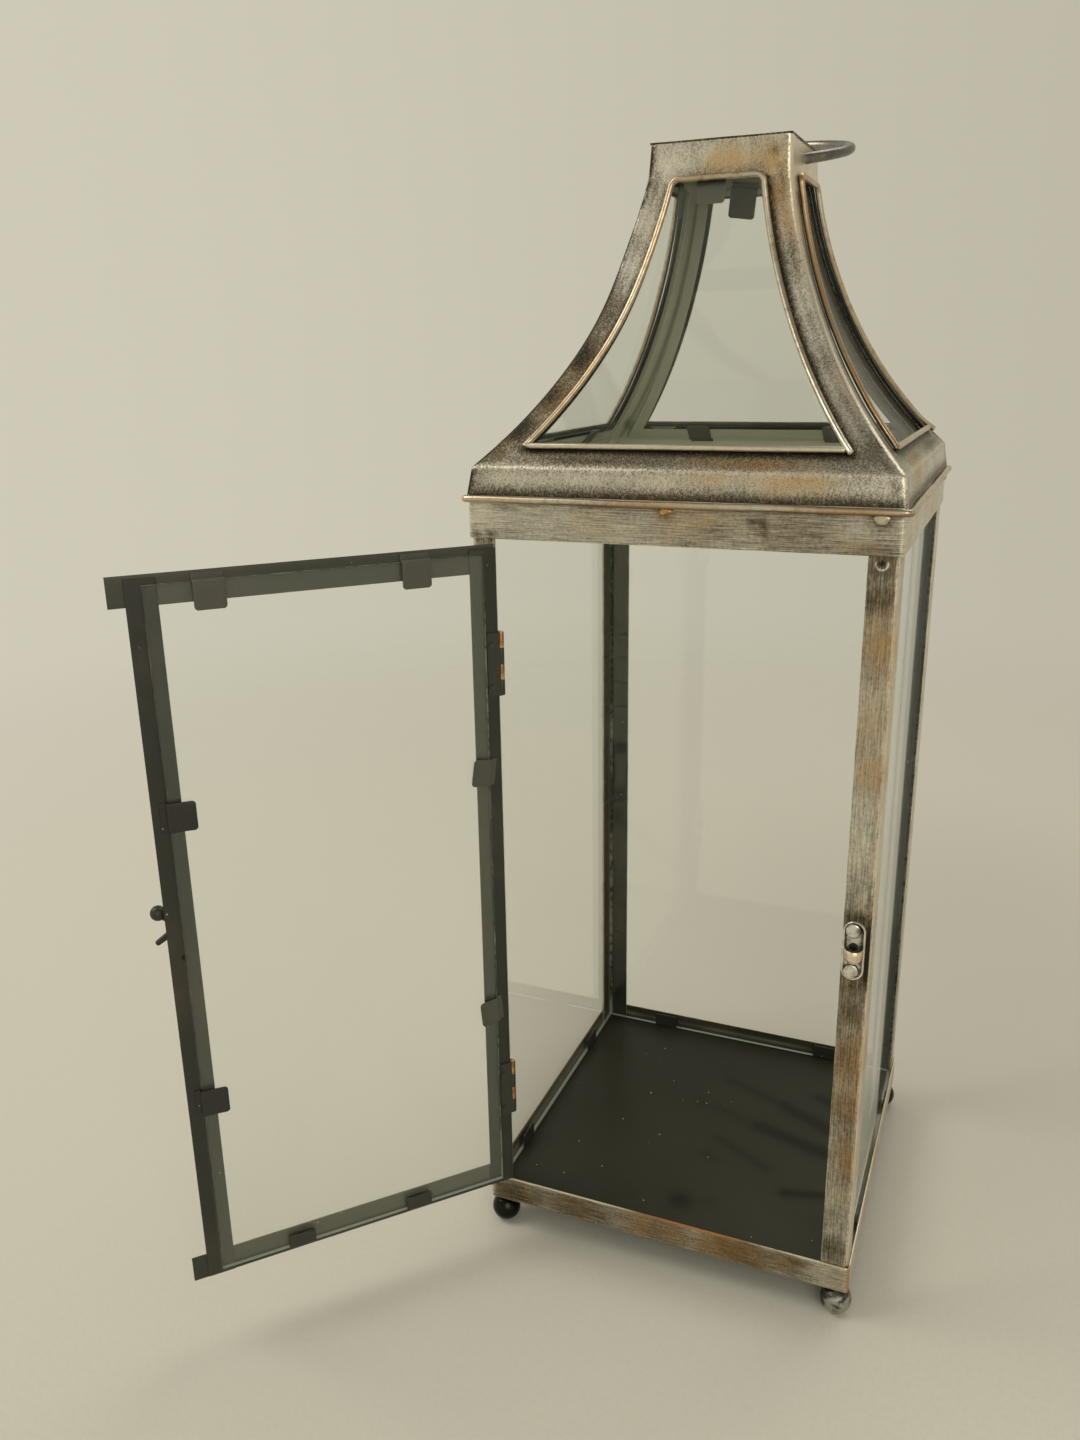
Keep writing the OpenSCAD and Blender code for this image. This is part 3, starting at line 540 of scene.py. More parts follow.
# mesh object of a shape, riding on a body and standing for the CAD nodes given, or for the one of its own name
def piece(name, shape, finishes, body, sharp=38.0, nodes=None):
    nodes = nodes or ["".join("_" * c.isupper() + c.lower() for c in name)]
    mesh = bpy.data.meshes.new(name)
    caps = shape.caps
    mesh.from_pydata((shape.points * mm).tolist(), [], shape.quads.tolist() + caps)
    layer = mesh.uv_layers.new(name="grain")
    flat = np.concatenate([shape.uv.reshape(-1, 2), np.zeros((sum(len(c) for c in caps), 2))]) * mm
    layer.data.foreach_set("uv", flat.astype(np.float32).ravel())
    for f in finishes:
        mesh.materials.append(finish[f])
    slots = np.concatenate([shape.slots, np.full(len(caps), shape.capSlot)]).astype(np.int32)
    mesh.polygons.foreach_set("material_index", slots)
    mesh.polygons.foreach_set("use_smooth", np.ones(len(slots), bool))
    for key in fieldNames:
        if key in shape.fields:
            values = np.clip(shape.fields[key], 0, 1.6).astype(np.float32)
            mesh.attributes.new(key, "FLOAT", "POINT").data.foreach_set("value", values)
    mesh.set_sharp_from_angle(angle=math.radians(sharp))
    mesh.validate()
    obj = bpy.data.objects.new(name, mesh)
    bpy.context.scene.collection.objects.link(obj)
    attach(obj, body)
    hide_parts(*nodes)


# patches on the front, which the other sides repeat: middle and radii in mm, then how brown, how dark, how pale
patches = [
    # posts, from the top
    (92, -99, 390, 14, 9, 9, 0.0, 0.6, 0), (90, -99, 376, 14, 9, 7, 0.2, 0.75, 0),
    (93, -99, 354, 14, 9, 17, 0.95, 0.15, 0), (90, -99, 323, 14, 9, 20, 0.5, 0.0, 0.15),
    (95, -99, 297, 12, 9, 14, 0.5, 0, 0.2), (91, -99, 265, 14, 9, 26, 0, 0, 0.35),
    # the dark patches round the keeper plate, from z 226 at the end of this line to z 193 two lines down, are painted
    # shadow
    (91, -99, 237, 14, 9, 9, 0.1, 0.1, 0.2), (91, -99, 226, 9, 9, 5, 0, 1.0, 0),
    (97.4, -99, 209, 3.2, 3, 20, 0, 1.8, 0), (86, -99, 210, 2.0, 9, 17, 0, 1.1, 0),
    (91, -99, 193, 12, 9, 7, 0.0, 0.75, 0), (92, -99, 177, 14, 9, 9, 0.35, 0.6, 0),
    (93, -99, 153, 14, 9, 16, 0.85, 0.45, 0), (94, -99, 125, 14, 9, 14, 0.7, 0.4, 0),
    (96, -99, 97, 9, 9, 26, 0.8, 0.4, 0), (89, -99, 89, 6, 9, 22, 0.2, 0, 0.2),
    (90, -99, 59, 12, 9, 12, 0, 0.2, 0.1), (90, -99, 41, 9, 9, 8, 0, 0.75, 0),
    # base band
    (-84, -100, 23, 18, 9, 10, 0.4, 0.85, 0), (-48, -100, 25, 26, 9, 12, 0.6, 0.5, 0),
    (0, -100, 25, 26, 9, 12, 0.8, 0.4, 0), (40, -100, 24, 24, 9, 12, 0.9, 0.55, 0),
    (70, -100, 27, 12, 9, 8, 0.5, 0.55, 0), (92, -100, 25, 12, 9, 12, 0.1, 0.1, 0.1),
    # header band
    (-92, -100, 404, 12, 9, 16, 0, 0.0, 0.65), (-70, -100, 406, 26, 9, 16, 0, 0, 0.3),
    (-30, -100, 402, 26, 9, 12, 0.3, 0, 0.15), (10, -100, 405, 26, 9, 10, 0.5, 0.1, 0.1),
    (37, -100, 406, 1.6, 9, 3, 0.0, 1.3, 0), (41, -100, 404, 2.4, 9, 5, 0.0, 0.8, 0),
    (58, -100, 402, 20, 9, 14, 0.2, 0.25, 0), (82, -100, 398, 10, 9, 5, 0.6, 0.0, 0),
    (80, -100, 405, 12, 9, 8, 0.25, 0, 0.3), (90.5, -100, 408.6, 4.6, 9, 3.2, 0.2, 1.0, 0),
    (-3, -100, 408.6, 5, 9, 3, 0.4, 0.8, 0), (-97, -100, 396, 5, 9, 3, 0, 0.9, 0),
    (-88, -100, 396, 2.2, 9, 2.4, 0.6, 1.4, 0),
    # skirt and the strip under the window
    (-80, -99, 422, 26, 9, 5.5, 0, 0, 0.5), (-44, -99, 422.5, 20, 9, 4.5, 0, 0.0, 0.4),
    (-8, -99, 422, 22, 9, 4.5, 0.25, 0, 0.5), (20, -99, 424, 18, 9, 3.5, 0.75, 0, 0.55),
    (56, -99, 424, 22, 9, 4, 0.9, 0, 0.45), (50, -99, 420.5, 30, 9, 4, 0.5, 0.0, 0.35),
    (88, -99, 420.5, 14, 9, 5, 0.2, 0.0, 0.35), (36, -95, 429.8, 32, 9, 2.6, 0.9, 0.5, 0.1),
    (-40, -95, 430.5, 50, 9, 3.5, 0.3, 0.8, 0), (84, -88, 437, 7, 15, 8, 0.1, 0.6, 0),
    (0, -95, 434, 60, 9, 2.5, 0.2, 0.9, 0), (-90, -90, 434, 12, 14, 7, 0.1, 0.9, 0),
    # the jambs of the front window
    (-82, -82, 444, 14, 14, 13, 0.4, 1.25, 0), (-70, -72, 460, 12, 14, 13, 0.6, 1.15, 0),
    (-58, -62, 477, 12, 14, 14, 0.5, 1.2, 0), (-47, -52, 497, 9, 14, 12, 0.3, 0.7, 0.1),
    (-40, -44, 517, 8, 14, 12, 0, 0.0, 0.75), (-36, -38, 537, 8, 14, 12, 0.2, 0, 1.15),
    (33, -38, 533, 7, 14, 14, 0.65, 0.05, 0.75), (38, -42, 517, 8, 14, 12, 0.3, 0.15, 0.3),
    (46, -46, 500, 9, 14, 13, 0.0, 0.0, 0.75), (54, -56, 485, 9, 14, 12, 0.1, 0.0, 0.7),
    (66, -68, 465, 10, 14, 12, 0.3, 0.0, 0.6), (76, -78, 451, 9, 14, 10, 0.35, 0.1, 0.5),
    # neck
    (-22, -34, 559, 13, 9, 11, 0, 0, 0.8), (-6, -34, 563, 9, 9, 7, 0.3, 0, 0.7),
    (4, -34, 559, 12, 9, 9, 0.75, 0.0, 0.8), (24, -34, 559, 12, 9, 12, 0.85, 0.0, 0.45),
    (25, -34, 562, 2.3, 9, 2.3, 0.3, 0.95, 0), (28, -36, 545, 7, 9, 10, 0.8, 0.0, 0.1),
]


# the side that each point is on, turned to the front and mirrored on the odd sides
def towardFront(points):
    x, y = points[:, 0], points[:, 1]
    side = np.where(np.abs(y) >= np.abs(x), np.where(y < 0, 0, 2), np.where(x > 0, 1, 3))
    across = np.choose(side, [x, -y, -x, y])
    return np.stack([across, -np.maximum(np.abs(x), np.abs(y)), points[:, 2]], 1), side


# painted sheen: the two sides' flat parts, below the roof's bend and on the neck, are paler than the front and back,
# and their curve a little paler too
sideSheen = dict(
    flatBelow=415, neckAbove=545, dark=0.3, pale=0.7, neckPale=1.3, curvePale=0.25, brown=0.6, moreBrown=0.15,
)


# every patch is exp(-(distance / radii)^2), and the strongest one at a point counts
def patinaAndPaintedLight(points):
    local, side = towardFront(points)
    brown, dark, pale = np.zeros((3, len(points)))
    for x, y, z, rx, ry, rz, b, d, p in patches:
        w = np.exp(-(((local - (x, y, z)) / (rx, ry, rz)) ** 2).sum(1))
        brown, dark, pale = np.maximum(brown, w * b), np.maximum(dark, w * d), np.maximum(pale, w * p)
    flank, neck = side % 2 == 1, points[:, 2] > sideSheen["neckAbove"]
    plain = flank & ((points[:, 2] < sideSheen["flatBelow"]) | neck)
    dark = np.where(plain, dark * sideSheen["dark"], dark)
    pale = np.where(plain, np.maximum(pale, np.where(neck, sideSheen["neckPale"], sideSheen["pale"])), pale)
    pale = np.where(flank & ~plain, pale + sideSheen["curvePale"], pale)
    brown = np.where(plain, brown * sideSheen["brown"] + sideSheen["moreBrown"], brown)
    return {"brown": brown, "dark": dark, "pale": pale}


# adds the patches to a shape, the cream edge of polished wear and painted highlight where the given values say, more
# dark and rust
def weatheredAndPaintedLight(shape, wearAndSheen, dark, rust=None):
    shape.fields = {**shape.fields, **patinaAndPaintedLight(shape.points)}
    if dark is not None:
        shape.fields["dark"] = np.maximum(shape.fields["dark"], dark)
    shape.fields["edge"] = wearAndSheen
    shape.fields["dark"] = shape.fields["dark"] * (1 - np.clip(wearAndSheen, 0, 1) * 0.8)
    if rust is not None:
        shape.fields["rust"] = rust
    return shape


# bell curve: 1 where the value is 0, and fading over the width
def near(value, width):
    return np.exp(-((value / width) ** 2))


# the frame's sizes in millimetres
body = dict(
    half=100.0, sheet=1.0, baseZ=17.0, baseTop=32.0, floorZ=23.0, headerZ=394.0, headerTop=414.3,
    postWidth=13.5, hingePost=12.2,
)
# the roof: Q is a face's distance from the middle, Z its height; the curve is an arc with the slope given at the neck
roof = dict(
    foot=100.6, bendQ=98.6, bendZ=426.9, neckQ=33.4, neckZ=553.9, topQ=32.8, top=568.2, slope=81.5,
    windowLow=435.5, windowHigh=552.3, margin=12.5, cornerR=4.0, ridgeR=2.4, bendR=3.2,
    bow=2.4, bowZ=524.0, bowSpan=27.0,
)
run, rise = roof["bendQ"] - roof["neckQ"], roof["neckZ"] - roof["bendZ"]
lowSlope = 2 * math.degrees(math.atan2(rise, run)) - roof["slope"]
roof["radius"] = math.hypot(run, rise) / (2 * math.sin(math.radians(roof["slope"] - lowSlope) / 2))
roof["curveQ"] = roof["neckQ"] + roof["radius"] * math.sin(math.radians(roof["slope"]))
roof["curveZ"] = roof["neckZ"] + roof["radius"] * math.cos(math.radians(roof["slope"]))


# distance of the curved sheet from the middle at height z: that of the arc's centre less root of radius^2 - rise^2
def curveQ(z):
    return roof["curveQ"] - np.sqrt(roof["radius"] ** 2 - (roof["curveZ"] - z) ** 2)


# half width of the window at height z: an arc a margin away from the sheet's, with rounded corners at its top
def windowX(z):
    r, reach, cz = roof["cornerR"], roof["radius"] + roof["margin"], roof["windowHigh"] - roof["cornerR"]
    side = roof["curveQ"] - np.sqrt(reach ** 2 - (roof["curveZ"] - z) ** 2)
    cx = roof["curveQ"] - math.sqrt((reach + r) ** 2 - (roof["curveZ"] - cz) ** 2)
    corner = cx + np.sqrt(np.maximum(r * r - np.maximum(z - cz, 0) ** 2, 0))
    return np.where(z > cz, np.minimum(side, corner), side)


# outer face of the roof as distance and height, with its bends rounded
def roofProfile():
    low, high = roof["windowLow"], roof["windowHigh"]
    foot, bend = np.array([roof["foot"], 0, body["headerTop"]]), np.array([roof["bendQ"], 0, roof["bendZ"]])
    after = np.array([curveQ(roof["bendZ"] + 3.0), 0, roof["bendZ"] + 3.0])
    start = roundedPath([foot, bend, after], roof["bendR"], 6)
    start = np.vstack([foot + (start[1] - foot) * np.linspace(0, 1, 7)[:-1, None], start[1:]])
    corner = high - roof["cornerR"] + roof["cornerR"] * np.sin(np.radians(np.linspace(0, 90, 8)))
    zs = np.concatenate([
        np.linspace(roof["bendZ"] + 3.8, low, 6), np.linspace(low, high - roof["cornerR"], 52)[1:],
        corner[1:], [roof["neckZ"] - 0.4],
    ])
    curve = np.stack([curveQ(zs), 0 * zs, zs], 1)
    neck = np.array([[roof["neckQ"], 0, roof["neckZ"] + 0.5], [roof["topQ"], 0, roof["top"]]])
    neck = neck[0] + (neck[1] - neck[0]) * np.linspace(0, 1, 9)[:, None]
    return np.vstack([start, curve, neck])


# shape made for the front, turned to its side; the front left ridge is bowed out: moved along -x where x
# and y both run to that corner
def roofSide(shape, side):
    shape = shape.moved(turnZ(side))
    points = shape.points
    q = np.maximum(np.abs(points[:, 0]), np.abs(points[:, 1])) + 1e-6
    share = np.clip(-points[:, 0] / q, 0, 1) * np.clip(-points[:, 1] / q, 0, 1)
    points[:, 0] -= roof["bow"] * share ** 1.5 * np.exp(-(((points[:, 2] - roof["bowZ"]) / roof["bowSpan"]) ** 2))
    return shape


# painted reflection of the glass: how pale the inside looks, all of the left panel and the back one up to its far
# jamb
def roofGlassSheen(p, side):
    reach = p[:, 0] + windowX(np.clip(p[:, 2], roof["windowLow"], roof["windowHigh"]))
    return 0.08 + 0.67 * (np.clip(reach / 8, 0, 1) if side == 2 else 0 * reach + (side == 3))


# one roof sheet: each row is the profile's distance and height, and across it the half ridge's arc, the jamb,
# the window and the same again mirrored; the faces in the window are left out
def roofPanel(side):
    prof = roofProfile()
    q, z = prof[:, 0], prof[:, 2]
    low, high = roof["windowLow"], roof["windowHigh"]
    inside = np.clip(z, low, high)
    share = windowX(inside) / curveQ(inside)
    edge = np.where((z >= low) & (z <= high), windowX(inside), share * q)
    r = roof["ridgeR"]
    arc = np.radians(np.linspace(45, 0, 6))
    rows = []
    jambSteps, windowSteps = 9, 16
    for qi, ei in zip(q, edge):
        cx = qi - r
        arcX, arcY = cx + r * np.sin(arc), -cx - r * np.cos(arc)
        jamb = cx + (ei - cx) * (np.arange(1, jambSteps + 1) / jambSteps)
        middle = ei * np.linspace(1, -1, windowSteps + 1)[1:-1]
        x = np.concatenate([arcX, jamb, middle, -jamb[::-1], -arcX[::-1]])
        y = np.concatenate([arcY, np.full(2 * jambSteps + windowSteps - 1, -qi), arcY[::-1]])
        rows.append(np.stack([x, y], 1))
    grid = np.array(rows)
    count = grid.shape[1]
    points = np.concatenate([grid, np.broadcast_to(z[:, None, None], (len(z), count, 1))], 2)
    # the sheet is a little uneven, and never stands out past its true face
    sway = 0.25 * np.sin(points[..., 0] / 17 + side * 2.1) * np.sin(points[..., 2] / 13 + side)
    points[..., 1] += (sway + 0.25) * np.clip((np.abs(grid[..., 1]) - np.abs(grid[..., 0])) / 12, 0, 1)
    u, v = lengths(prof), np.linspace(0, 200, count)
    quads, uv = gridQuads(len(z), count, False, False, u + 300 * side, v)
    row, col = quads[:, 0] // count, quads[:, 0] % count
    quads, uv = quads[:, ::-1], uv[:, ::-1]
    first = len(arc) + jambSteps - 1
    hole = (z[row] >= low - 1e-6) & (z[row] < high - 1e-6) & (col >= first) & (col < first + windowSteps)
    shape = thicken(points, quads[~hole], uv[~hole], body["sheet"])
    p = shape.points
    toRidge = (np.abs(p[:, 1]) - np.abs(p[:, 0])) / 1.41
    zc = np.clip(p[:, 2], low, high)
    besideWindow = np.hypot(np.maximum(np.abs(p[:, 0]) - windowX(zc), 0), (p[:, 2] - zc) * 1.15)
    bendAway = np.hypot(np.abs(p[:, 1]) - roof["bendQ"] + 0.3, p[:, 2] - roof["bendZ"])
    turned = roofSide(shape, side)
    seam = 1.0 * (((side == 0) & (p[:, 0] < 0)) | ((side == 3) & (p[:, 0] > 0)))  # the front left ridge stays dark
    # cream along the ridges, the bend, the top and the neck's foot: polished wear and painted highlight
    wearAndSheen = np.maximum.reduce([
        0.85 * (1 - seam) * near(toRidge, 1.5) * (p[:, 2] > 421), 0.6 * near(bendAway, 1.7),
        0.6 * near(p[:, 2] - roof["top"], 1.2), 0.35 * near(p[:, 2] - roof["neckZ"], 1.2) * (p[:, 2] > 547),
        (1.1 if side % 2 else 0.0) * np.clip((p[:, 2] - 552) / 6, 0, 1),  # painted sheen on the necks of the two sides
    ])
    shadeBesideBead = 1.05 - 0.4 * np.clip((p[:, 2] - 495) / 20, 0, 1) * (p[:, 0] < 20)  # painted shade beside the bead wire, lighter high up left of x 20
    # painted shade beside the bead wire, at the skirt's foot above the eave wire and a little in from the ridges; on
    # the front left seam a dark line with painted shade in its gap
    dark = np.maximum.reduce([
        shadeBesideBead * near(np.maximum(besideWindow - 1.4, 0), 3.3), 0.5 * near(besideWindow - 1.6, 0.8),
        1.0 * near(p[:, 2] - body["headerTop"], 3.9),
        0.5 * near(toRidge - 3.5, 1.6) * (p[:, 2] < 557), 1.5 * seam * near(toRidge, 1.9),
    ])
    dark = np.where(seam > 0, dark, dark * (1 - 0.85 * near(toRidge, 1.2)))
    rust = 0.5 * near(toRidge - 1.7, 0.7) * (0.5 + 0.5 * np.sin(p[:, 2] / 9 + side)) * (p[:, 2] > 437) * (p[:, 0] > 0)
    # painted reflection of the glass on the inside paint
    turned.fields["veil"] = roofGlassSheen(p, side)
    return weatheredAndPaintedLight(turned, wearAndSheen, dark, rust)


sideNames = ["Front", "Right", "Back", "Left"]
for k, side in enumerate(sideNames):
    piece("roofPanel" + side, roofPanel(k), ["speckled", "insidePaint"], "frame")
print("stage: roof panels")


# point on the roof's front at height z, standing out of the sheet along its normal
def onRoof(x, z, out):
    z = np.asarray(z, float)
    normal = unit(np.stack([0 * z, -(roof["curveQ"] - curveQ(z)), roof["curveZ"] - z], -1))
    return np.stack([np.broadcast_to(x, z.shape), -curveQ(z), z], -1) + normal * out


# brown is how brown the left leg, the right leg and the foot are, for each side
bead = dict(
    radius=1.38, sides=14, wander=0.16, lift=0.02, pastEnd=0.9, rideOver=7.0,
    brown=[(0.75, 0.2, 0.05), (1.1, 0.5, 0.45), (0.4, 0.4, 0.2), (0.5, 0.4, 0.2)],
)


# wire laid round the window: the opening's outline on the roof's face, lifted by the wire's radius and a slow wander
def windowBead(side):
    low, high = roof["windowLow"], roof["windowHigh"]
    out = bead["radius"] + bead["lift"]
    cz = high - roof["cornerR"]
    zs = np.linspace(low, cz, 48)
    arc = np.radians(np.linspace(0, 90, 8))
    cx = float(windowX(np.array([high]))[0])
    width = float(windowX(np.array([low]))[0])
    corner = np.stack([cx + roof["cornerR"] * np.cos(arc), cz + roof["cornerR"] * np.sin(arc)], 1)
    outline = [(x, low) for x in np.linspace(width - bead["pastEnd"], -width, 56)]
    outline += [(-windowX(np.array([z]))[0], z) for z in zs[1:]]
    outline += [(-x, z) for x, z in corner] + [(x, high) for x in np.linspace(-cx, cx, 12)[1:-1]]
    outline += [(x, z) for x, z in corner[::-1]] + [(windowX(np.array([z]))[0], z) for z in zs[::-1][1:]]
    flat = np.array(outline)
    slide = unit(flat[-1] - flat[-3])
    flat = np.vstack([flat, flat[-1] + slide * 1.4, flat[-1] + slide * 2.6])
    s = lengths(np.c_[flat, 0 * flat[:, 0]])
    wander = bead["wander"] * (np.sin(s / 11 + side) + 0.6 * np.sin(s / 5.3 + 2 * side))
    path = onRoof(flat[:, 0], np.maximum(flat[:, 1], low - 3), out)
    normal = unit(onRoof(flat[:, 0], flat[:, 1], 1.0) - onRoof(flat[:, 0], flat[:, 1], 0.0))
    path = path + normal * (np.abs(wander) * 0.5)[:, None]
    past = np.clip(1 - (s[-1] - s) / bead["rideOver"], 0, 1)  # the last stretch rides over the start of the wire
    path = path + normal * (past * 1.1)[:, None]
    shape = wire(path, bead["radius"], flat=(0, -1, 0.3), sides=bead["sides"])
    p = shape.points
    turn = (np.arange(bead["sides"]) + 0.5) * 2 * np.pi / bead["sides"]
    shape.slots = np.tile((np.sin(turn) < -0.25).astype(int), len(shape.quads) // bead["sides"])  # painted inside
    leftLeg, rightLeg, footBrown = bead["brown"][side]
    leg = np.where(p[:, 0] < 0, leftLeg, rightLeg) * (0.85 + 0.15 * np.sin(p[:, 2] / 9 + side))
    atFoot = p[:, 2] < low + 3
    legPale = 0.2 + 0.2 * np.sin(p[:, 2] / 23 + p[:, 0] / 31 + side) * (1 - leg)
    shape.fields = {
        # painted shade on the underside of the wire's foot
        "dark": 0.5 * near(np.abs(p[:, 2] - low) + 1e-3, 3) * (p[:, 2] < low - 0.6),
        "brown": np.where(atFoot, footBrown, leg),
        "pale": np.where(atFoot & (side == 0), 0.75, legPale),
    }
    return roofSide(shape, side)


roofPane = dict(low=430.0, high=554.8, lap=7.0, outer=-1.06, inner=-2.94)


# bent glass behind a window, grown by its lap: the grid's columns follow the opening, and outside it the paint shows
def roofGlass(side):
    low, high = roof["windowLow"], roof["windowHigh"]
    cz = high - roof["cornerR"]
    cornerZ = cz + roof["cornerR"] * np.sin(np.radians(np.linspace(15, 90, 6)))
    z = [np.linspace(roofPane["low"], low, 4), np.linspace(low, cz, 56)[1:], cornerZ, [roofPane["high"]]]
    z = np.concatenate(z)
    half = roof["curveQ"] - np.sqrt((roof["radius"] + roofPane["lap"]) ** 2 - (roof["curveZ"] - z) ** 2)[:, None]
    edge = windowX(np.clip(z, low, high))[:, None] + 0.05
    lapShare, openShare = np.linspace(0, 1, 4), np.linspace(1, -1, 25)[1:-1]
    left = half + (edge - half) * lapShare
    x = np.concatenate([left, edge * openShare, -left[:, ::-1]], 1)
    outer, inner = (onRoof(x, np.broadcast_to(z[:, None], x.shape), roofPane[face]) for face in ("outer", "inner"))
    quads, uv = gridQuads(len(z), x.shape[1], False, False, z, np.linspace(60, -60, x.shape[1]))
    row, col = quads[:, 0] // x.shape[1], quads[:, 0] % x.shape[1]
    lap = (col < 3) | (col >= x.shape[1] - 4) | (row < 3) | (z[row] >= high - 1e-6)
    shape = thicken(outer, quads, uv, 0.0, slots=(0, 0, 1), inner=inner.reshape(-1, 3))
    shape.slots[: 2 * len(lap)][np.tile(lap, 2)] = 2
    # the lap faces' paint gets the same painted reflection of the glass
    shape.fields["veil"] = roofGlassSheen(shape.points, side)
    return roofSide(shape, side)


for k, side in enumerate(sideNames):
    piece("windowBead" + side, windowBead(k), ["bead", "insidePaint"], "frame", 60)
    piece("roofGlass" + side, roofGlass(k), ["roofGlass", "edge", "lapPaint"], "frame")
print("stage: windows")


# sheet band bent round the body: a strip's section carried round a square with rounded corners
def band(z0, height, seed):
    h = body["half"]
    square = [(-h, -h, z0), (h, -h, z0), (h, h, z0), (-h, h, z0)]
    path = denser(roundedPath(square, 2.0, 5, True), 3.0, True)
    out = np.cross(tangents(path, True), (0, 0, 1))
    rect = roundedRect(height, body["sheet"], 0.3, 8)
    profile = np.stack([rect[:, 1] - body["sheet"] / 2, rect[:, 0] + height / 2], 1)
    middle = (profile + np.roll(profile, -1, 0)) / 2
    slots = (middle[:, 0] < -body["sheet"] * 0.6).astype(int)
    shape = sweep(path, out, (0, 0, 1), profile, True, seed * 400.0, slots)
    p = shape.points
    toCorner = np.hypot(h - 1.2 - np.abs(p[:, 0]), h - 1.2 - np.abs(p[:, 1]))
    topEdge, lowEdge = near(p[:, 2] - z0 - height, 0.55), near(p[:, 2] - z0, 0.5)
    # cream along the band's top and lower edges and round its corners: polished wear and painted highlight
    wearAndSheen = np.maximum.reduce([0.9 * topEdge, 0.5 * lowEdge, 0.75 * near(toCorner, 2.2)])
    return shape, wearAndSheen, topEdge


def headerBand():
    shape, wearAndSheen = band(body["headerZ"], body["headerTop"] - body["headerZ"], 1)[:2]
    # painted shade on the band under the eave wire
    shadeUnderWire = 0.35 * near(shape.points[:, 2] - body["headerTop"] + 3, 2.5)
    return weatheredAndPaintedLight(shape, wearAndSheen, shadeUnderWire)


# rusty says where the copper shows: along the top edge in front, about x, and at the front right corner
rusty = dict(x=18, reach=34, cornerX=99.6, cornerY=-98.6, cornerReach=1.6)
lightLine = dict(z=26.1, width=1.0, inner=98, outer=99.4)  # light caught behind the glass at the back and left


def baseBand():
    shape, wearAndSheen, topEdge = band(body["baseZ"], body["baseTop"] - body["baseZ"], 2)
    x, y, z = shape.points.T
    along = topEdge * np.clip(near(x - rusty["x"], rusty["reach"]) * 1.2, 0, 1) * (y < -90)
    atCorner = 0.9 * near(np.hypot(x - rusty["cornerX"], y - rusty["cornerY"]), rusty["cornerReach"])
    rust = np.maximum(along, atCorner)
    weatheredAndPaintedLight(shape, wearAndSheen * (1 - rust), None, rust)
    behind = (np.maximum(y, -x) > lightLine["inner"]) & (np.maximum(np.abs(x), np.abs(y)) < lightLine["outer"])
    line = near(z - lightLine["z"], lightLine["width"]) * behind
    shape.fields["veil"], shape.fields["edge"] = line, np.maximum(shape.fields["edge"], 1.5 * line)
    return shape


for name, shape in (("header", headerBand()), ("base", baseBand())):
    nodes = [name + "_rail_" + side.lower() for side in sideNames]
    piece(name + "Band", shape, ["brushed", "paint"], "frame", nodes=nodes)


punched = dict(x=91.3, z=390.6, radius=2.5, line=0.55, hollow=1.8)  # the punched mark on the latch post, painted: highlight round its rim and shade in its hollow


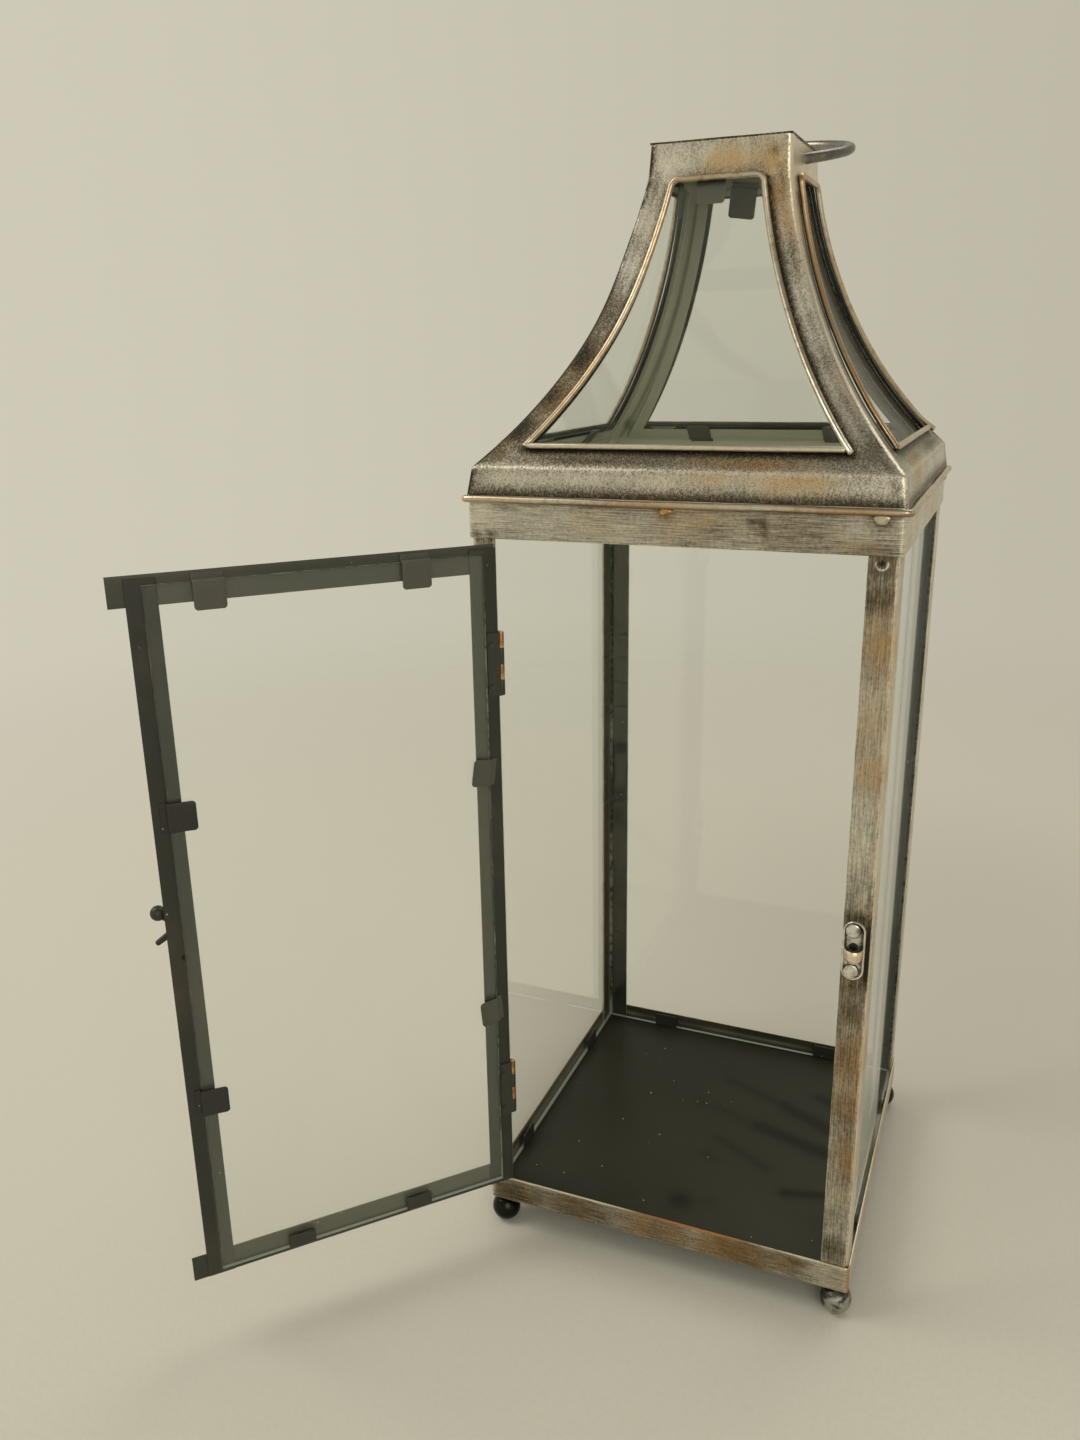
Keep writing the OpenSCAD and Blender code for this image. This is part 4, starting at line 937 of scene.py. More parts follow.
# corner post: an L section with a rounded bend carried up the corner
def post(corner):
    w0 = body["hingePost"] if corner == 0 else body["postWidth"]
    w1, t, r = body["postWidth"], body["sheet"], 2.2
    bend = np.radians(np.linspace(270, 180, 8))
    outer = [(x, 0.0) for x in np.linspace(w0, r, 9)[:-1]]
    outer += [(r + r * math.cos(a), r + r * math.sin(a)) for a in bend]
    outer += [(0.0, y) for y in np.linspace(r, w1, 19)[1:]]
    inner = [(t, y) for y in np.linspace(w1, r, 4)[:-1]]
    inner += [(r + (r - t) * math.cos(a), r + (r - t) * math.sin(a)) for a in bend[::-1]]
    inner += [(x, t) for x in np.linspace(r, w0, 4)[1:]]
    slots = [0] * len(outer) + [1] * (len(inner) - 1) + [0]
    c = body["half"] - body["sheet"]
    marked = corner == 1  # its front flange carries a punched mark near the top, so the grid is finer there
    levels = [np.linspace(body["baseZ"], body["headerTop"], 101), np.linspace(384, 396, 25 if marked else 2)]
    levels = np.unique(np.concatenate(levels))
    path = np.stack([0 * levels - c, 0 * levels - c, levels], 1)
    shape = sweep(path, (1, 0, 0), (0, 1, 0), np.array(outer + inner), False, corner * 500.0, slots)
    p = shape.points
    toBend = np.hypot(p[:, 0] + c - 0.7, p[:, 1] + c - 0.7)
    toEdge = np.minimum(np.abs(p[:, 0] + c - w0), np.abs(p[:, 1] + c - w1))
    # cream along the bend and the flange edges: polished wear and painted highlight
    wearAndSheen = np.maximum(0.7 * near(toBend, 1.9), 0.5 * near(toEdge, 0.4))
    if marked:  # the cream edge stops beside the keeper plate, under its painted shadow
        wearAndSheen = wearAndSheen * (1 - 0.95 * np.exp(-(((p[:, 2] - 209) / 21) ** 4)) * (p[:, 1] + c > 0.9))
    rust = 0.5 * near(toBend - 2.4, 0.8) * (np.sin(p[:, 2] / 21 + corner) > 0.1)
    ends = np.maximum(near(p[:, 2] - body["headerZ"], 3.0), near(p[:, 2] - body["baseTop"], 2.0)) * 0.6
    # painted reflection of the glass on the back left post's paint, growing upwards
    glassSheen = np.clip((p[:, 2] - 120) / 200, 0, 1) * (0.6 if corner == 3 else 0.0)
    if corner == 2:
        ends = np.maximum(ends, 0.45 * (np.minimum(p[:, 0], p[:, 1]) + c > 0.9))  # its inner faces are darker
    turned = weatheredAndPaintedLight(shape.moved(turnZ(corner)), wearAndSheen, ends, rust)
    turned.fields["veil"] = glassSheen
    if marked:
        x, z = turned.points[:, 0] - punched["x"], turned.points[:, 2] - punched["z"]
        front = turned.points[:, 1] < -98
        # painted highlight round the rim and painted shade in the hollow
        cup = near(np.abs(np.hypot(x, z) - punched["radius"]), punched["line"]) * (z < 1.2) * front
        hollow = near(np.hypot(x, z - 0.3), punched["hollow"]) * front
        turned.fields["dark"] = np.maximum(turned.fields["dark"], 1.4 * hollow) * (1 - cup)
        turned.fields["edge"] = np.maximum(turned.fields["edge"], 0.8 * cup)
    return turned


cornerNames = ["FrontLeft", "FrontRight", "BackRight", "BackLeft"]
for k, corner in enumerate(cornerNames):
    piece("post" + corner, post(k), ["brushed", "paint"], "frame")


eave = dict(radius=1.595, corner=3.0, sag=0.25, waves=((0.18, 19), (0.1, 7.3)))  # each wave's height and length


# wire round the header's top: a square with rounded corners that rises and falls by two slow sines
def eaveWire():
    r = eave["radius"]
    h = body["half"] + r
    z = body["headerTop"] - r
    square = [(-h, -h, z), (h, -h, z), (h, h, z), (-h, h, z)]
    path = denser(roundedPath(square, eave["corner"], 6, True), 4.0, True)
    s = lengths(path, True)[:-1]
    path[:, 2] += sum(high * np.sin(s / long) for high, long in eave["waves"]) - eave["sag"]
    shape = wire(path, r, closed=True)
    p = shape.points
    shape.fields = {
        "pale": 0.25 + 0.2 * np.sin(p[:, 0] / 17), "brown": 0.4 + 0.25 * np.sin(p[:, 0] / 13 + 2),
        # painted shade along the wire's underside
        "dark": 0.8 * near(p[:, 2] - z + r, 0.7),
    }
    return shape


piece("eaveWire", eaveWire(), ["bead"], "frame", 60)


# a copper lump under the middle of the eave wire and a pale one at its right end, on each side
solder = [
    dict(slot=0, centre=(-2.6, -100.1, 409.7), size=(3.5, 1.2, 2.1), seed=0),
    dict(slot=1, centre=(90.2, -100.1, 409.4), size=(3.4, 1.24, 2.5), seed=5),
]


# lump of solder: a ball of the size given, pushed about by slow waves
def lump(spot, side):
    a = np.radians(np.linspace(-90, 90, 13))
    ball = lathe(np.stack([np.cos(a), np.sin(a)], 1), (0, 0, 0), sides=18)
    p, seed = ball.points, spot["seed"] + side
    waves = 0.12 * np.sin(3 * p[:, 0] + seed) * np.cos(4 * p[:, 2] + seed) + 0.08 * np.sin(5 * p[:, 1] + 2 * seed)
    ball.points = p * (1 + waves)[:, None] * spot["size"] + spot["centre"]
    ball.slots[:] = spot["slot"]
    return ball.moved(turnZ(side))


spots = join([lump(spot, side) for spot in solder for side in range(4)])
piece("solderSpots", spots, ["copperSolder", "solder"], "frame", 80)
print("stage: bands, posts, wire")

cap = dict(steps=25, crown=1.0, edgeDrop=0.18, dent=0.12)


# cap sheet: a flat top that rounds off at its edges by the eighth power of the distance, with shallow dents
def capPlate():
    w = roof["topQ"]
    x = np.linspace(-w, w, cap["steps"])
    gx, gy, quads, uv = flatGrid(x, x)
    rounding = np.clip((np.abs(gx) / w) ** 8 + (np.abs(gy) / w) ** 8, 0, 1)
    crown = cap["crown"] - cap["edgeDrop"] * rounding - cap["dent"] * np.sin(gx / 11) ** 2 * np.cos(gy / 13) ** 2
    points = np.stack([gx, gy, roof["top"] + crown], 2)
    inner = np.stack([gx, gy, np.full_like(gx, roof["top"] + 0.02)], 2).reshape(-1, 3)
    shape = thicken(points, quads, uv, 0.0, slots=(0, 0, 0), inner=inner)
    p = shape.points
    edge = w - np.maximum(np.abs(p[:, 0]), np.abs(p[:, 1]))
    cloud = np.sin(p[:, 0] / 11 + 1) * np.sin(p[:, 1] / 14 + 2) + 0.5 * np.sin((p[:, 0] + p[:, 1]) / 7)
    shape.fields = {
        "brown": 0.35 + 0.4 * cloud, "pale": 0.35 - 0.25 * cloud,
        "dark": np.maximum(0.95 * near(edge, 0.7), 0.3 * near(edge - 4, 3)), "edge": 0.5 * near(edge - 1.2, 0.8),
    }
    return shape


piece("capPlate", capPlate(), ["speckled"], "frame")


# painted shade on the floor in streaks and spots: from, to, half width, how dark
floorShadeMarks = [
    (2, 50, 40, 36, 5, 0.6), (40, 36, 71, 21, 6, 0.75), (-12, 22, 30, 10, 6, 0.5), (30, 10, 81, -4, 6, 0.75),
    (9, -10, 42, -27, 3.5, 0.55), (56, -44, 80, -38, 3.5, 0.75), (3, -71, 3, -71, 7, 0.75),
    (14, -68, 18, -67, 4, 0.4), (60, 52, 92, 40, 5, 0.7), (-7, 58, 20, 60, 6, 0.45), (6, -26, 12, -30, 4, 0.5),
    (84, -60, 92, -66, 5, 0.5), (-30, 40, -14, 36, 5, 0.35),
]
floorLook = dict(steps=96, thick=0.75, sink=0.24, dust=0.28, wiped=0.7, soften=1.45)


# flat grid with slow waves, let out round the flanges of the four posts
def floorSheet():
    c = body["half"] - body["sheet"] - 0.05
    flange, wall = c - body["postWidth"] - 0.1, c - body["sheet"] - 0.1
    half = np.concatenate([np.linspace(flange, wall, 5), np.linspace(wall, c, 2)])
    x = np.concatenate([-half, np.linspace(-flange, flange, floorLook["steps"]), half])
    x = np.unique(x.round(5))
    gx, gy, quads, uv = flatGrid(x, x)
    wave = 0.16 * np.sin(gx / 23 + 1) * np.sin(gy / 31) + 0.08 * np.sin(gx / 11 + gy / 9)
    points = np.stack([gx, gy, body["floorZ"] + wave - floorLook["sink"]], 2)
    centre = np.abs(points.reshape(-1, 3)[quads].mean(1))
    keep = ~((centre[:, :2].max(1) > wall) & (centre[:, :2].min(1) > flange))
    shape = thicken(points, quads[keep][:, ::-1], uv[keep][:, ::-1], floorLook["thick"], slots=(0, 0, 0))
    x, y = shape.points[:, 0], shape.points[:, 1]
    across = (x - y) / (4 * c) + 0.5  # paler towards the front right
    # painted shade on the floor at the back left, with the streaks and spots over it
    wiped = 0.25 * near(np.hypot(x + 92, y - 40), 38)
    for x0, y0, x1, y1, wide, deep in floorShadeMarks:
        dx, dy = x1 - x0, y1 - y0
        along = np.clip(((x - x0) * dx + (y - y0) * dy) / (dx ** 2 + dy ** 2 + 1e-9), 0, 1)
        away = np.hypot(x - x0 - along * dx, y - y0 - along * dy)
        wiped = np.maximum(wiped, deep * near(away, wide * floorLook["soften"]))
    shape.fields["veil"] = floorLook["dust"] * np.clip(across * 1.3 - 0.45, 0, 1) * (1 - wiped)
    shape.fields["dark"] = floorLook["wiped"] * wiped
    return shape


piece("floorSheet", floorSheet(), ["floorPaint"], "frame", nodes=["floor_plate"])


# ball foot: turned ball with its flat, and the stud that goes up to the floor
feet = dict(radius=8.0, flat=0.3, inset=6.4, stud=3.0)


def foot(corner):
    r, z = feet["radius"], feet["radius"] - feet["flat"]
    a = np.radians(np.linspace(-90 + math.degrees(math.acos(z / r)), 67, 30))
    profile = [(0, 0)] + [(r * math.cos(t), z + r * math.sin(t)) for t in a]
    profile += [(feet["stud"], body["floorZ"] - 1), (0, body["floorZ"] - 1)]
    at = body["half"] - feet["inset"]
    shape = lathe(profile, (-at, -at, 0), sides=48).moved(turnZ(corner))
    p = shape.points
    if corner == 1:  # this one is scuffed bright, with a coppery flank and dark marks
        d = unit(p - (at, -at, z))
        marks = np.sin(d[:, 0] * 6 + 2.2 * np.sin(d[:, 2] * 5)) * np.sin(d[:, 2] * 8 + 1)
        top = 0.5 * np.clip((d[:, 2] - 0.5) * 3, 0, 1)
        shape.fields = {
            "dark": np.clip(marks * 0.6 - 0.1, 0, 0.25) + 0.7 * near(d[:, 0] + 1, 0.35) + top,
            "rust": 0.6 * np.clip((d[:, 0] - 0.86) * 8, 0, 1) * (d[:, 1] < 0.5), "pale": 0.2 * np.clip(-marks, 0, 1),
        }
    else:
        shape.fields = {"dark": 0.3 + 0 * p[:, 2]}
    return shape


for k, corner in enumerate(cornerNames):
    piece("foot" + corner, foot(k), ["scuffed" if k == 1 else "ball"], "frame", 50)


# flat pane with cut edges: x across, z up, y through it
def pane(x0, x1, z0, z1, y0, thick, steps=12):
    gx, gz, quads, uv = flatGrid(np.linspace(x0, x1, steps), np.linspace(z0, z1, 24))
    front = np.stack([gx, np.full_like(gx, y0), gz], 2)
    back = np.stack([gx, np.full_like(gx, y0 + thick), gz], 2).reshape(-1, 3)
    shape = thicken(front, quads, uv, thick, slots=(0, 0, 1), inner=back)
    shape.fields["pale"] = near(shape.points[:, 2] - z0, 3.0)  # the lower edge catches the light
    return shape


panes = dict(low=23.6, high=404.0, y=-98.0, thick=2.0, half=(None, 97.5, 95.8, 97.5))

for k in (1, 2, 3):
    half = panes["half"][k]
    glass = pane(-half, half, panes["low"], panes["high"], panes["y"], panes["thick"], 40 if k == 1 else 12)
    glass = glass.moved(turnZ(k))
    if k == 1:  # its far half mirrors less
        glass.fields["dark"] = 0.95 * np.clip((glass.points[:, 1] - 8) / 10, 0, 1)
    piece("pane" + sideNames[k], glass, ["glass", "edge"], "frame")


# strip of thin sheet folded along a line in a plane, as wide as the plane's normal says; lip is where its end narrows
def foldedStrip(corners, bends, thick, width, across, lip=1.2, bow=0.0):
    line = denser(roundedPath(corners, bends, 4), 1.0)
    across = unit(across)
    face = unit(np.cross(tangents(line), across))
    s = lengths(line)
    left = s[-1] - s
    share = np.where(left < lip, np.sqrt(np.clip(1 - (1 - left / lip) ** 2 * 0.3, 0, 1)), 1.0)
    rect = roundedRect(width, thick, thick * 0.3, 6)
    profile = np.repeat(rect[None], len(line), 0)
    profile[..., 0] *= share[:, None]
    profile[..., 1] += bow * (1 - (2 * rect[None, :, 0] / width) ** 2) * (left < lip * 6)[:, None]
    shape = sweep(line, across, face, profile)
    edge = 1 - np.abs(np.tile(2 * rect[:, 0] / width, len(line)))
    tip = np.repeat(left, len(rect))
    shape.fields = {"pale": 0.55 * near(np.minimum(edge * width / 2, tip), 0.35), "brown": 0.3 * near(tip - 6, 3)}
    return shape


paneClip = dict(x=55.0, thick=0.6, width=15.0, bend=0.5, outer=98.5, inner=95.7, lowDark=0.62, highDark=0.2)


# sheet folded round the lower or upper edge of a pane, two to each
def paneClips():
    out, inn = paneClip["outer"], paneClip["inner"]
    shapes = []
    for side in (1, 2, 3):
        for x in (-paneClip["x"], paneClip["x"]):
            low = [(x, -out, 31.0), (x, -out, 23.3), (x, -inn, 23.3), (x, -inn, 32.0)]
            high = [(x, -out, 395.7), (x, -out, 404.3), (x, -inn, 404.3), (x, -inn, 395.7)]
            for corners, dark in ((low, paneClip["lowDark"]), (high, paneClip["highDark"])):
                folded = foldedStrip(corners, paneClip["bend"], paneClip["thick"], paneClip["width"], (1, 0, 0))
                folded.fields["dark"] = np.full(len(folded.points), dark)
                shapes.append(folded.moved(turnZ(side)))
    return join(shapes)


piece("paneClips", paneClips(), ["clipPaint"], "frame", 50)


# the clip at the top of each window: where it is, how long its lip is, and how far it sits askew in degrees
roofClip = dict(
    thick=0.56, width=13.5, x=39.5, lowEdge=430.0, highEdge=554.8, lip=7.6,
    top=[(-4.0, 12.5, 0.0), (-13.45, 12.5, 0.0), (3.0, 13.0, 8.0), (-13.45, 12.5, 0.0)],
)


# two clips at the foot of each window and one at its top: a step over the glass's edge and a lip along the glass
def roofClips():
    shapes = []
    for side in range(4):
        x0, lip0, turn0 = roofClip["top"][side]
        clips = [(x, roofClip["lowEdge"], 1, roofClip["lip"], 0.0) for x in (-roofClip["x"], roofClip["x"])]
        for x, edge, up, lip, turn in clips + [(x0, roofClip["highEdge"], -1, lip0, turn0)]:
            # along the sheet and out of it
            steps = [(-3.0, -1.32), (-0.5, -1.32), (-0.5, -3.3), (4, -3.3), (lip, -3.36)]
            slope, angle = math.tan(math.radians(turn)), math.radians(turn)
            corners = [onRoof(x - slope * up * along, edge + up * along, out) for along, out in steps]
            across = (math.cos(angle), 0, math.sin(angle))
            folded = foldedStrip(corners, [0, 0.45, 0.45, 3, 0], roofClip["thick"], roofClip["width"], across)
            shapes.append(folded.moved(turnZ(side)))
    return join(shapes)


piece("roofClips", roofClips(), ["clipPaint"], "frame", 50)


ring = dict(radius=47.0, rod=2.5, tilt=math.radians(12.5), y=2.0, z=562.4, wall=0.86)


# round ring tilted about its two holes: the circle's middle lies so far back that it passes through the neck walls
def carryingRing():
    wall = roof["neckQ"] - ring["wall"]  # half way between the middles of the two neck walls
    reach = math.sqrt(ring["radius"] ** 2 - wall ** 2)
    a = np.linspace(0, 2 * np.pi, 145)[:-1]
    x, back = ring["radius"] * np.cos(a), reach + ring["radius"] * np.sin(a)
    c, s = math.cos(ring["tilt"]), math.sin(ring["tilt"])
    path = np.stack([x, ring["y"] + back * c, ring["z"] + back * s], 1)
    shape = wire(path, ring["rod"], flat=(0, -s, c), closed=True, sides=24)
    p = shape.points
    shape.fields = {"pale": 0.1 * (1 + np.sin(p[:, 0] / 9)), "dark": 0.15 * (1 + np.sin(p[:, 1] / 13))}
    return shape


piece("carryingRing", carryingRing(), ["ring"], "ring", 60)
print("stage: floor, feet, panes, clips, ring")

# the door when it is shut: its hinge axis, the angle that it stands open at, the outside of the stiles, and its bars
door = dict(
    hingeX=-85.05, hingeY=-98.7, angle=132.3, face=-99.2, z0=32.6, z1=391.6, stile=13.4, rail=13.6,
    stileX0=-83.3, stileX1=85.1, railX0=-82.55, railX1=92.2, stileLow=0.8, stileHigh=1.6,
)
axis = Matrix.Translation((door["hingeX"], door["hingeY"], 0))
toOpen = axis @ Matrix.Rotation(math.radians(-door["angle"]), 4, "Z") @ axis.inverted()
glassBox = dict(
    x0=door["stileX0"] + 7, x1=door["stileX1"] - 7, z0=door["z0"] + 4.4, z1=door["z1"] - 4.4,
    y=door["face"] + 1.0 + 0.02, thick=1.96,
)


# flat bar of the door: kind is its width, the direction of that and the y of its outer face; behind the glass its
# inside is painted pale for the glass's reflection, by the given pair at its start and end, elsewhere as bare says
def doorBar(start, end, kind, seed, glassSheen, bare):
    width, wide, y = kind
    path = denser([start, end], 4.0)
    rect = roundedRect(width, body["sheet"], 0.28, 7)
    middle = (rect + np.roll(rect, -1, 0)) / 2
    slots = (middle[:, 1] > -0.28).astype(int)
    path[:, 1] = y + body["sheet"] / 2
    shape = sweep(path, wide, (0, 1, 0), rect, False, seed * 333.0, slots)
    edge = width / 2 - np.abs(np.tile(rect[:, 0], len(path)))
    s = np.repeat(lengths(path), len(rect))
    ends = np.minimum(s, s.max() - s)
    outside = np.tile(rect[:, 1] < 0, len(path))
    g, p = glassBox, shape.points
    behind = (p[:, 0] > g["x0"]) & (p[:, 0] < g["x1"]) & (p[:, 2] > g["z0"]) & (p[:, 2] < g["z1"])
    veil = np.where(behind, glassSheen[0] + (glassSheen[1] - glassSheen[0]) * s / s.max(), bare)
    shape.fields = {
        "edge": np.where(outside, 0.7, 0.25) * near(np.minimum(edge, ends), 0.4),
        "brown": 0.5 * (1 + np.sin(s / 27 + seed * 2)) * 0.5,
        "dark": np.where(outside, 0.3 * (1 + np.sin(s / 41 + seed)), 0.0),
        "veil": np.where(outside, 0.0, veil),
    }
    shape.capSlot = 1
    return shape


x0, x1 = door["railX0"], door["railX1"]
z0, z1 = door["z0"] + door["rail"] / 2, door["z1"] - door["rail"] / 2
rail, stile = (door["rail"], (0, 0, 1), door["face"] - 1.0), (door["stile"], (1, 0, 0), door["face"])
sx0, sx1 = door["stileX0"] + door["stile"] / 2, door["stileX1"] - door["stile"] / 2
sz0, sz1 = door["z0"] + door["stileLow"], door["z1"] - door["stileHigh"]
bars = [
    ("RailTop", (x0, 0, z1), (x1, 0, z1), rail, (0.5, 0.5), 0.28),
    ("RailBottom", (x0, 0, z0), (x1, 0, z0), rail, (1.0, 0.7), 0.1),
    ("StileHinge", (sx0, 0, sz0), (sx0, 0, sz1), stile, (0.3, 0.55), 0.0),
    ("StileLatch", (sx1, 0, sz0), (sx1, 0, sz1), stile, (0.55, -0.2), 0.0),
]
for k, (name, start, end, kind, glassSheen, bare) in enumerate(bars):
    bar = doorBar(start, end, kind, k + 1, glassSheen, bare).moved(toOpen)
    piece("door" + name, bar, ["brushed", "paint"], "door")
doorPane = pane(*(glassBox[n] for n in ("x0", "x1", "z0", "z1", "y", "thick"))).moved(toOpen)
piece("doorGlass", doorPane, ["glass", "edge"], "door")


# each clip's place along its bar as a share, its lip's length, how far the lip's end stands off the glass, its turn
# in degrees and how dark it is
doorClip = dict(
    thick=0.6, width=14.0,
    top=[(0.24, 12.6, 0.0, 0, 0.0), (0.795, 12.6, 0.0, 0, 0.0)],
    bottom=[(0.335, 7.2, 0.5, 0, 0.55), (0.715, 7.2, 0.5, 0, 0.55)],
    latch=[(0.285, 12.0, 0.9, 0, 0.62), (0.697, 12.0, 0.9, 0, 0.62)],
    hinge=[(0.312, 9.8, 1.2, 5, 0.0), (0.685, 9.8, 1.2, -8, 0.0)],
)


# clips of the door: a foot on the bar, a step over the edge of the glass, and a lip on the glass
def doorClips():
    g, t, back = glassBox, doorClip["thick"], door["face"] + 1.0
    wide, high = door["stileX1"] - door["stileX0"], door["z1"] - door["z0"]
    shapes = []
    # start of the glass's edge, the way along it, the way into the glass, and the depth of the step
    sides = dict(
        top=((door["stileX0"], door["face"], g["z1"]), (wide, 0, 0), (0, 0, -1), 3.0),
        bottom=((door["stileX0"], door["face"], g["z0"]), (wide, 0, 0), (0, 0, 1), 3.0),
        latch=((g["x1"], back, door["z0"]), (0, 0, high), (-1, 0, 0), 2.0),
        hinge=((g["x0"], back, door["z0"]), (0, 0, high), (1, 0, 0), 2.0),
    )
    for side, (start, along, into, deep) in sides.items():
        for at, lip, tip, turn, dark in doorClip[side]:
            origin = np.array(start) + np.array(along) * at
            steps = [(-3.4, 0), (-0.5, 0), (-0.5, deep), (lip * 0.6, deep + tip * 0.4), (lip, deep + tip)]
            corners = [origin + np.array(into) * far + (0, t / 2 + out, 0) for far, out in steps]
            folded = foldedStrip(corners, [0, 0.4, 0.4, 4, 0], t, doorClip["width"], along, 1.4, 0.12)
            if turn:
                middle = Matrix.Translation(origin)
                folded = folded.moved(middle @ Matrix.Rotation(math.radians(turn), 4, "Y") @ middle.inverted())
            folded.fields["dark"] = np.full(len(folded.points), dark)
            shapes.append(folded)
    return join(shapes).moved(toOpen)


piece("doorClips", doorClips(), ["clipPaint"], "door", 50)
print("stage: door")

hinge = dict(
    height=32.0, levels=(93.0, 333.0), barrel=1.45, chamfer=0.22, pin=0.75, gap=1.75, leaf=7.7, thick=0.7,
    rivetAt=6.1, spread=10.67, shank=1.1, head=1.8, headHigh=0.3, rivetLong=1.4, frameY=-98.0, streak=2.1,
)


# hinge leaf with rolled knuckles, every other one from the first, and dimples round its rivets
def hingeLeaf(level, toward, yFace, first):
    z0 = hinge["levels"][level] - hinge["height"] / 2
    x, z = np.linspace(hinge["gap"] * 0.2, hinge["leaf"], 22), np.linspace(0, hinge["height"], 86)
    gx, gz, quads, uv = flatGrid(x, z)
    dip = np.zeros_like(gx)
    for dz in (-hinge["spread"], hinge["spread"]):
        d = np.hypot(gx - hinge["rivetAt"], gz - hinge["height"] / 2 - dz)
        dip = np.maximum(dip, np.clip(1 - d / 1.5, 0, 1) ** 0.6)
    step = hinge["height"] / 4
    knuckle = (np.floor(gz / step).astype(int) % 2) == first
    yFace = yFace - door["hingeY"]
    face = np.stack([toward * gx, yFace + hinge["thick"] - 0.5 * dip, gz], 2)
    start = quads[:, 0]
    keep = (gx.ravel()[start] >= hinge["gap"] * 0.8) | knuckle.ravel()[start]
    back = np.stack([toward * gx, np.full_like(gx, yFace + 0.02), gz], 2).reshape(-1, 3)
    leaf = thicken(face, quads[keep], uv[keep], 0.6, slots=(0, 0, 0), inner=back)
    # painted shade in the dimples round the rivets
    leaf.fields["dark"] = np.concatenate([np.clip(dip * 2.2 - 0.3, 0, 1.2).ravel(), 0 * dip.ravel()])[leaf.used]
    shapes = [leaf]
    r, c, bore = hinge["barrel"], hinge["chamfer"], hinge["pin"] + 0.04
    for k in range(first, 4, 2):
        low, high = k * step + 0.1, (k + 1) * step - 0.1
        end = [(bore, 0), (r - c, 0), (r - c * 0.3, c * 0.3), (r, c)]
        profile = [(x, low + z) for x, z in end] + [(x, high - z) for x, z in end[::-1]]
        shapes.append(turnedRing(profile, 24))
    shape = join(shapes).moved(Matrix.Translation((door["hingeX"], door["hingeY"], z0)))
    if first:  # the copper leaf is streaked
        streak = 0.25 * (1 + np.sin(shape.points[:, 2] / hinge["streak"]))
        shape.fields["dark"] = np.maximum(shape.fields["dark"], streak)
    return shape


for k, name in enumerate(("Lower", "Upper")):
    onFrame = hingeLeaf(k, -1, hinge["frameY"], 1)
    onDoor = hingeLeaf(k, 1, door["face"] + 1.0, 0).moved(toOpen)
    piece("hingeFrameLeaf" + name, onFrame, ["copper"], "frame", 40)
    piece("hingeDoorLeaf" + name, onDoor, ["hingePaint"], "door", 40)


# rivets of the hinges: a shank with a low rounded head
def hingeRivets(toward, yOut):
    r, h, shank, deep = (hinge[n] for n in ("head", "headHigh", "shank", "rivetLong"))
    profile = [(0, -h), (r * 0.55, -h), (r * 0.85, -h * 0.8), (r, -h * 0.35), (r, 0)]
    profile += [(shank, 0), (shank, deep), (0, deep)]
    x = door["hingeX"] + toward * hinge["rivetAt"]
    levels = [level + dz for level in hinge["levels"] for dz in (-hinge["spread"], hinge["spread"])]
    return join([lathe(profile, (x, yOut, z), (0, 1, 0), 24) for z in levels])


onDoor = hingeRivets(1, door["face"]).moved(toOpen)
piece("hingeFrameRivets", hingeRivets(-1, -99.0), ["keeper"], "frame", 40)
piece("hingeDoorRivets", onDoor, ["paint"], "door", 40)
for name in ("lower", "upper"):
    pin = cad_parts["hinge_pin_" + name]
    pin.data.materials.clear()
    pin.data.materials.append(finish["copper"])

# the lever hangs from its pivot; angles are in degrees, lift is how far it is raised at rest
latch = dict(
    pivotX=78.4, pivotZ=213.0, leverY=-101.2, thick=1.8, width=3.4, lift=58.7, arm=24.0, armAngle=9.8,
    knee=17.5, kneeAngle=24.0, knob=3.6, knobOut=2.1, bore=1.56, hub=1.05, toothX=12.4, toothY=-5.59,
    toothTop=1.6, toothTaper=0.4,
)


# lever laid flat, then stood up and lifted: an arm bent at the knee with a ball at its end, a hub round the rivet,
# and a tooth that narrows evenly towards its tip
def latchLever():
    w, t = latch["width"], latch["thick"]
    pivot = Matrix.Translation((latch["pivotX"], latch["leverY"], latch["pivotZ"]))
    lift = pivot @ Matrix.Rotation(math.pi / 2, 4, "X") @ Matrix.Rotation(math.radians(latch["lift"]), 4, "Z")
    angles = [math.radians(latch[n]) for n in ("armAngle", "kneeAngle")]
    along, toKnee = (np.array([math.cos(a), math.sin(a), 0]) for a in angles)
    knee, middle = toKnee * latch["knee"], np.array([0, 0, t / 2])
    bent = denser(roundedPath([along * 0.5 + middle, knee + middle, along * latch["arm"] + middle], 2.5, 5), 2.0)
    arm = sweep(bent, np.cross((0, 0, 1), tangents(bent)), (0, 0, 1), roundedRect(w, t, 0.5, 2))
    bore, r = latch["bore"], w / 2 + latch["hub"]
    profile = [(bore, 0.02), (r - 0.3, 0.02), (r, 0.3), (r, t - 0.3), (r - 0.3, t), (bore, t)]
    hub = turnedRing(profile, 32)
    top = knee * latch["toothX"] / knee[0] + middle
    line = denser([top, np.array([latch["toothX"], latch["toothY"], t / 2])], 0.8)
    share = lengths(line) / lengths(line)[-1]
    half = latch["toothTop"] - latch["toothTaper"] * share
    half[-1] *= 0.6
    rect = roundedRect(2, t, 0.35, 2)
    profile = np.repeat(rect[None], len(line), 0)
    profile[..., 0] *= half[:, None]
    tooth = sweep(line, (1, 0, 0), (0, 0, 1), profile)
    b = np.radians(np.linspace(-90, 90, 25))
    ball = np.stack([latch["knob"] * np.cos(b), latch["knob"] * np.sin(b)], 1)
    knob = lathe(ball, along * latch["arm"] + (0, 0, latch["knobOut"]), sides=32)
    shape = join([arm, hub, tooth, knob])
    shape.fields = {"pale": 0 * shape.points[:, 0], "brown": 0 * shape.points[:, 0]}
    return shape.moved(toOpen @ lift)


piece("latchLever", latchLever(), ["paint"], "latch", 45)

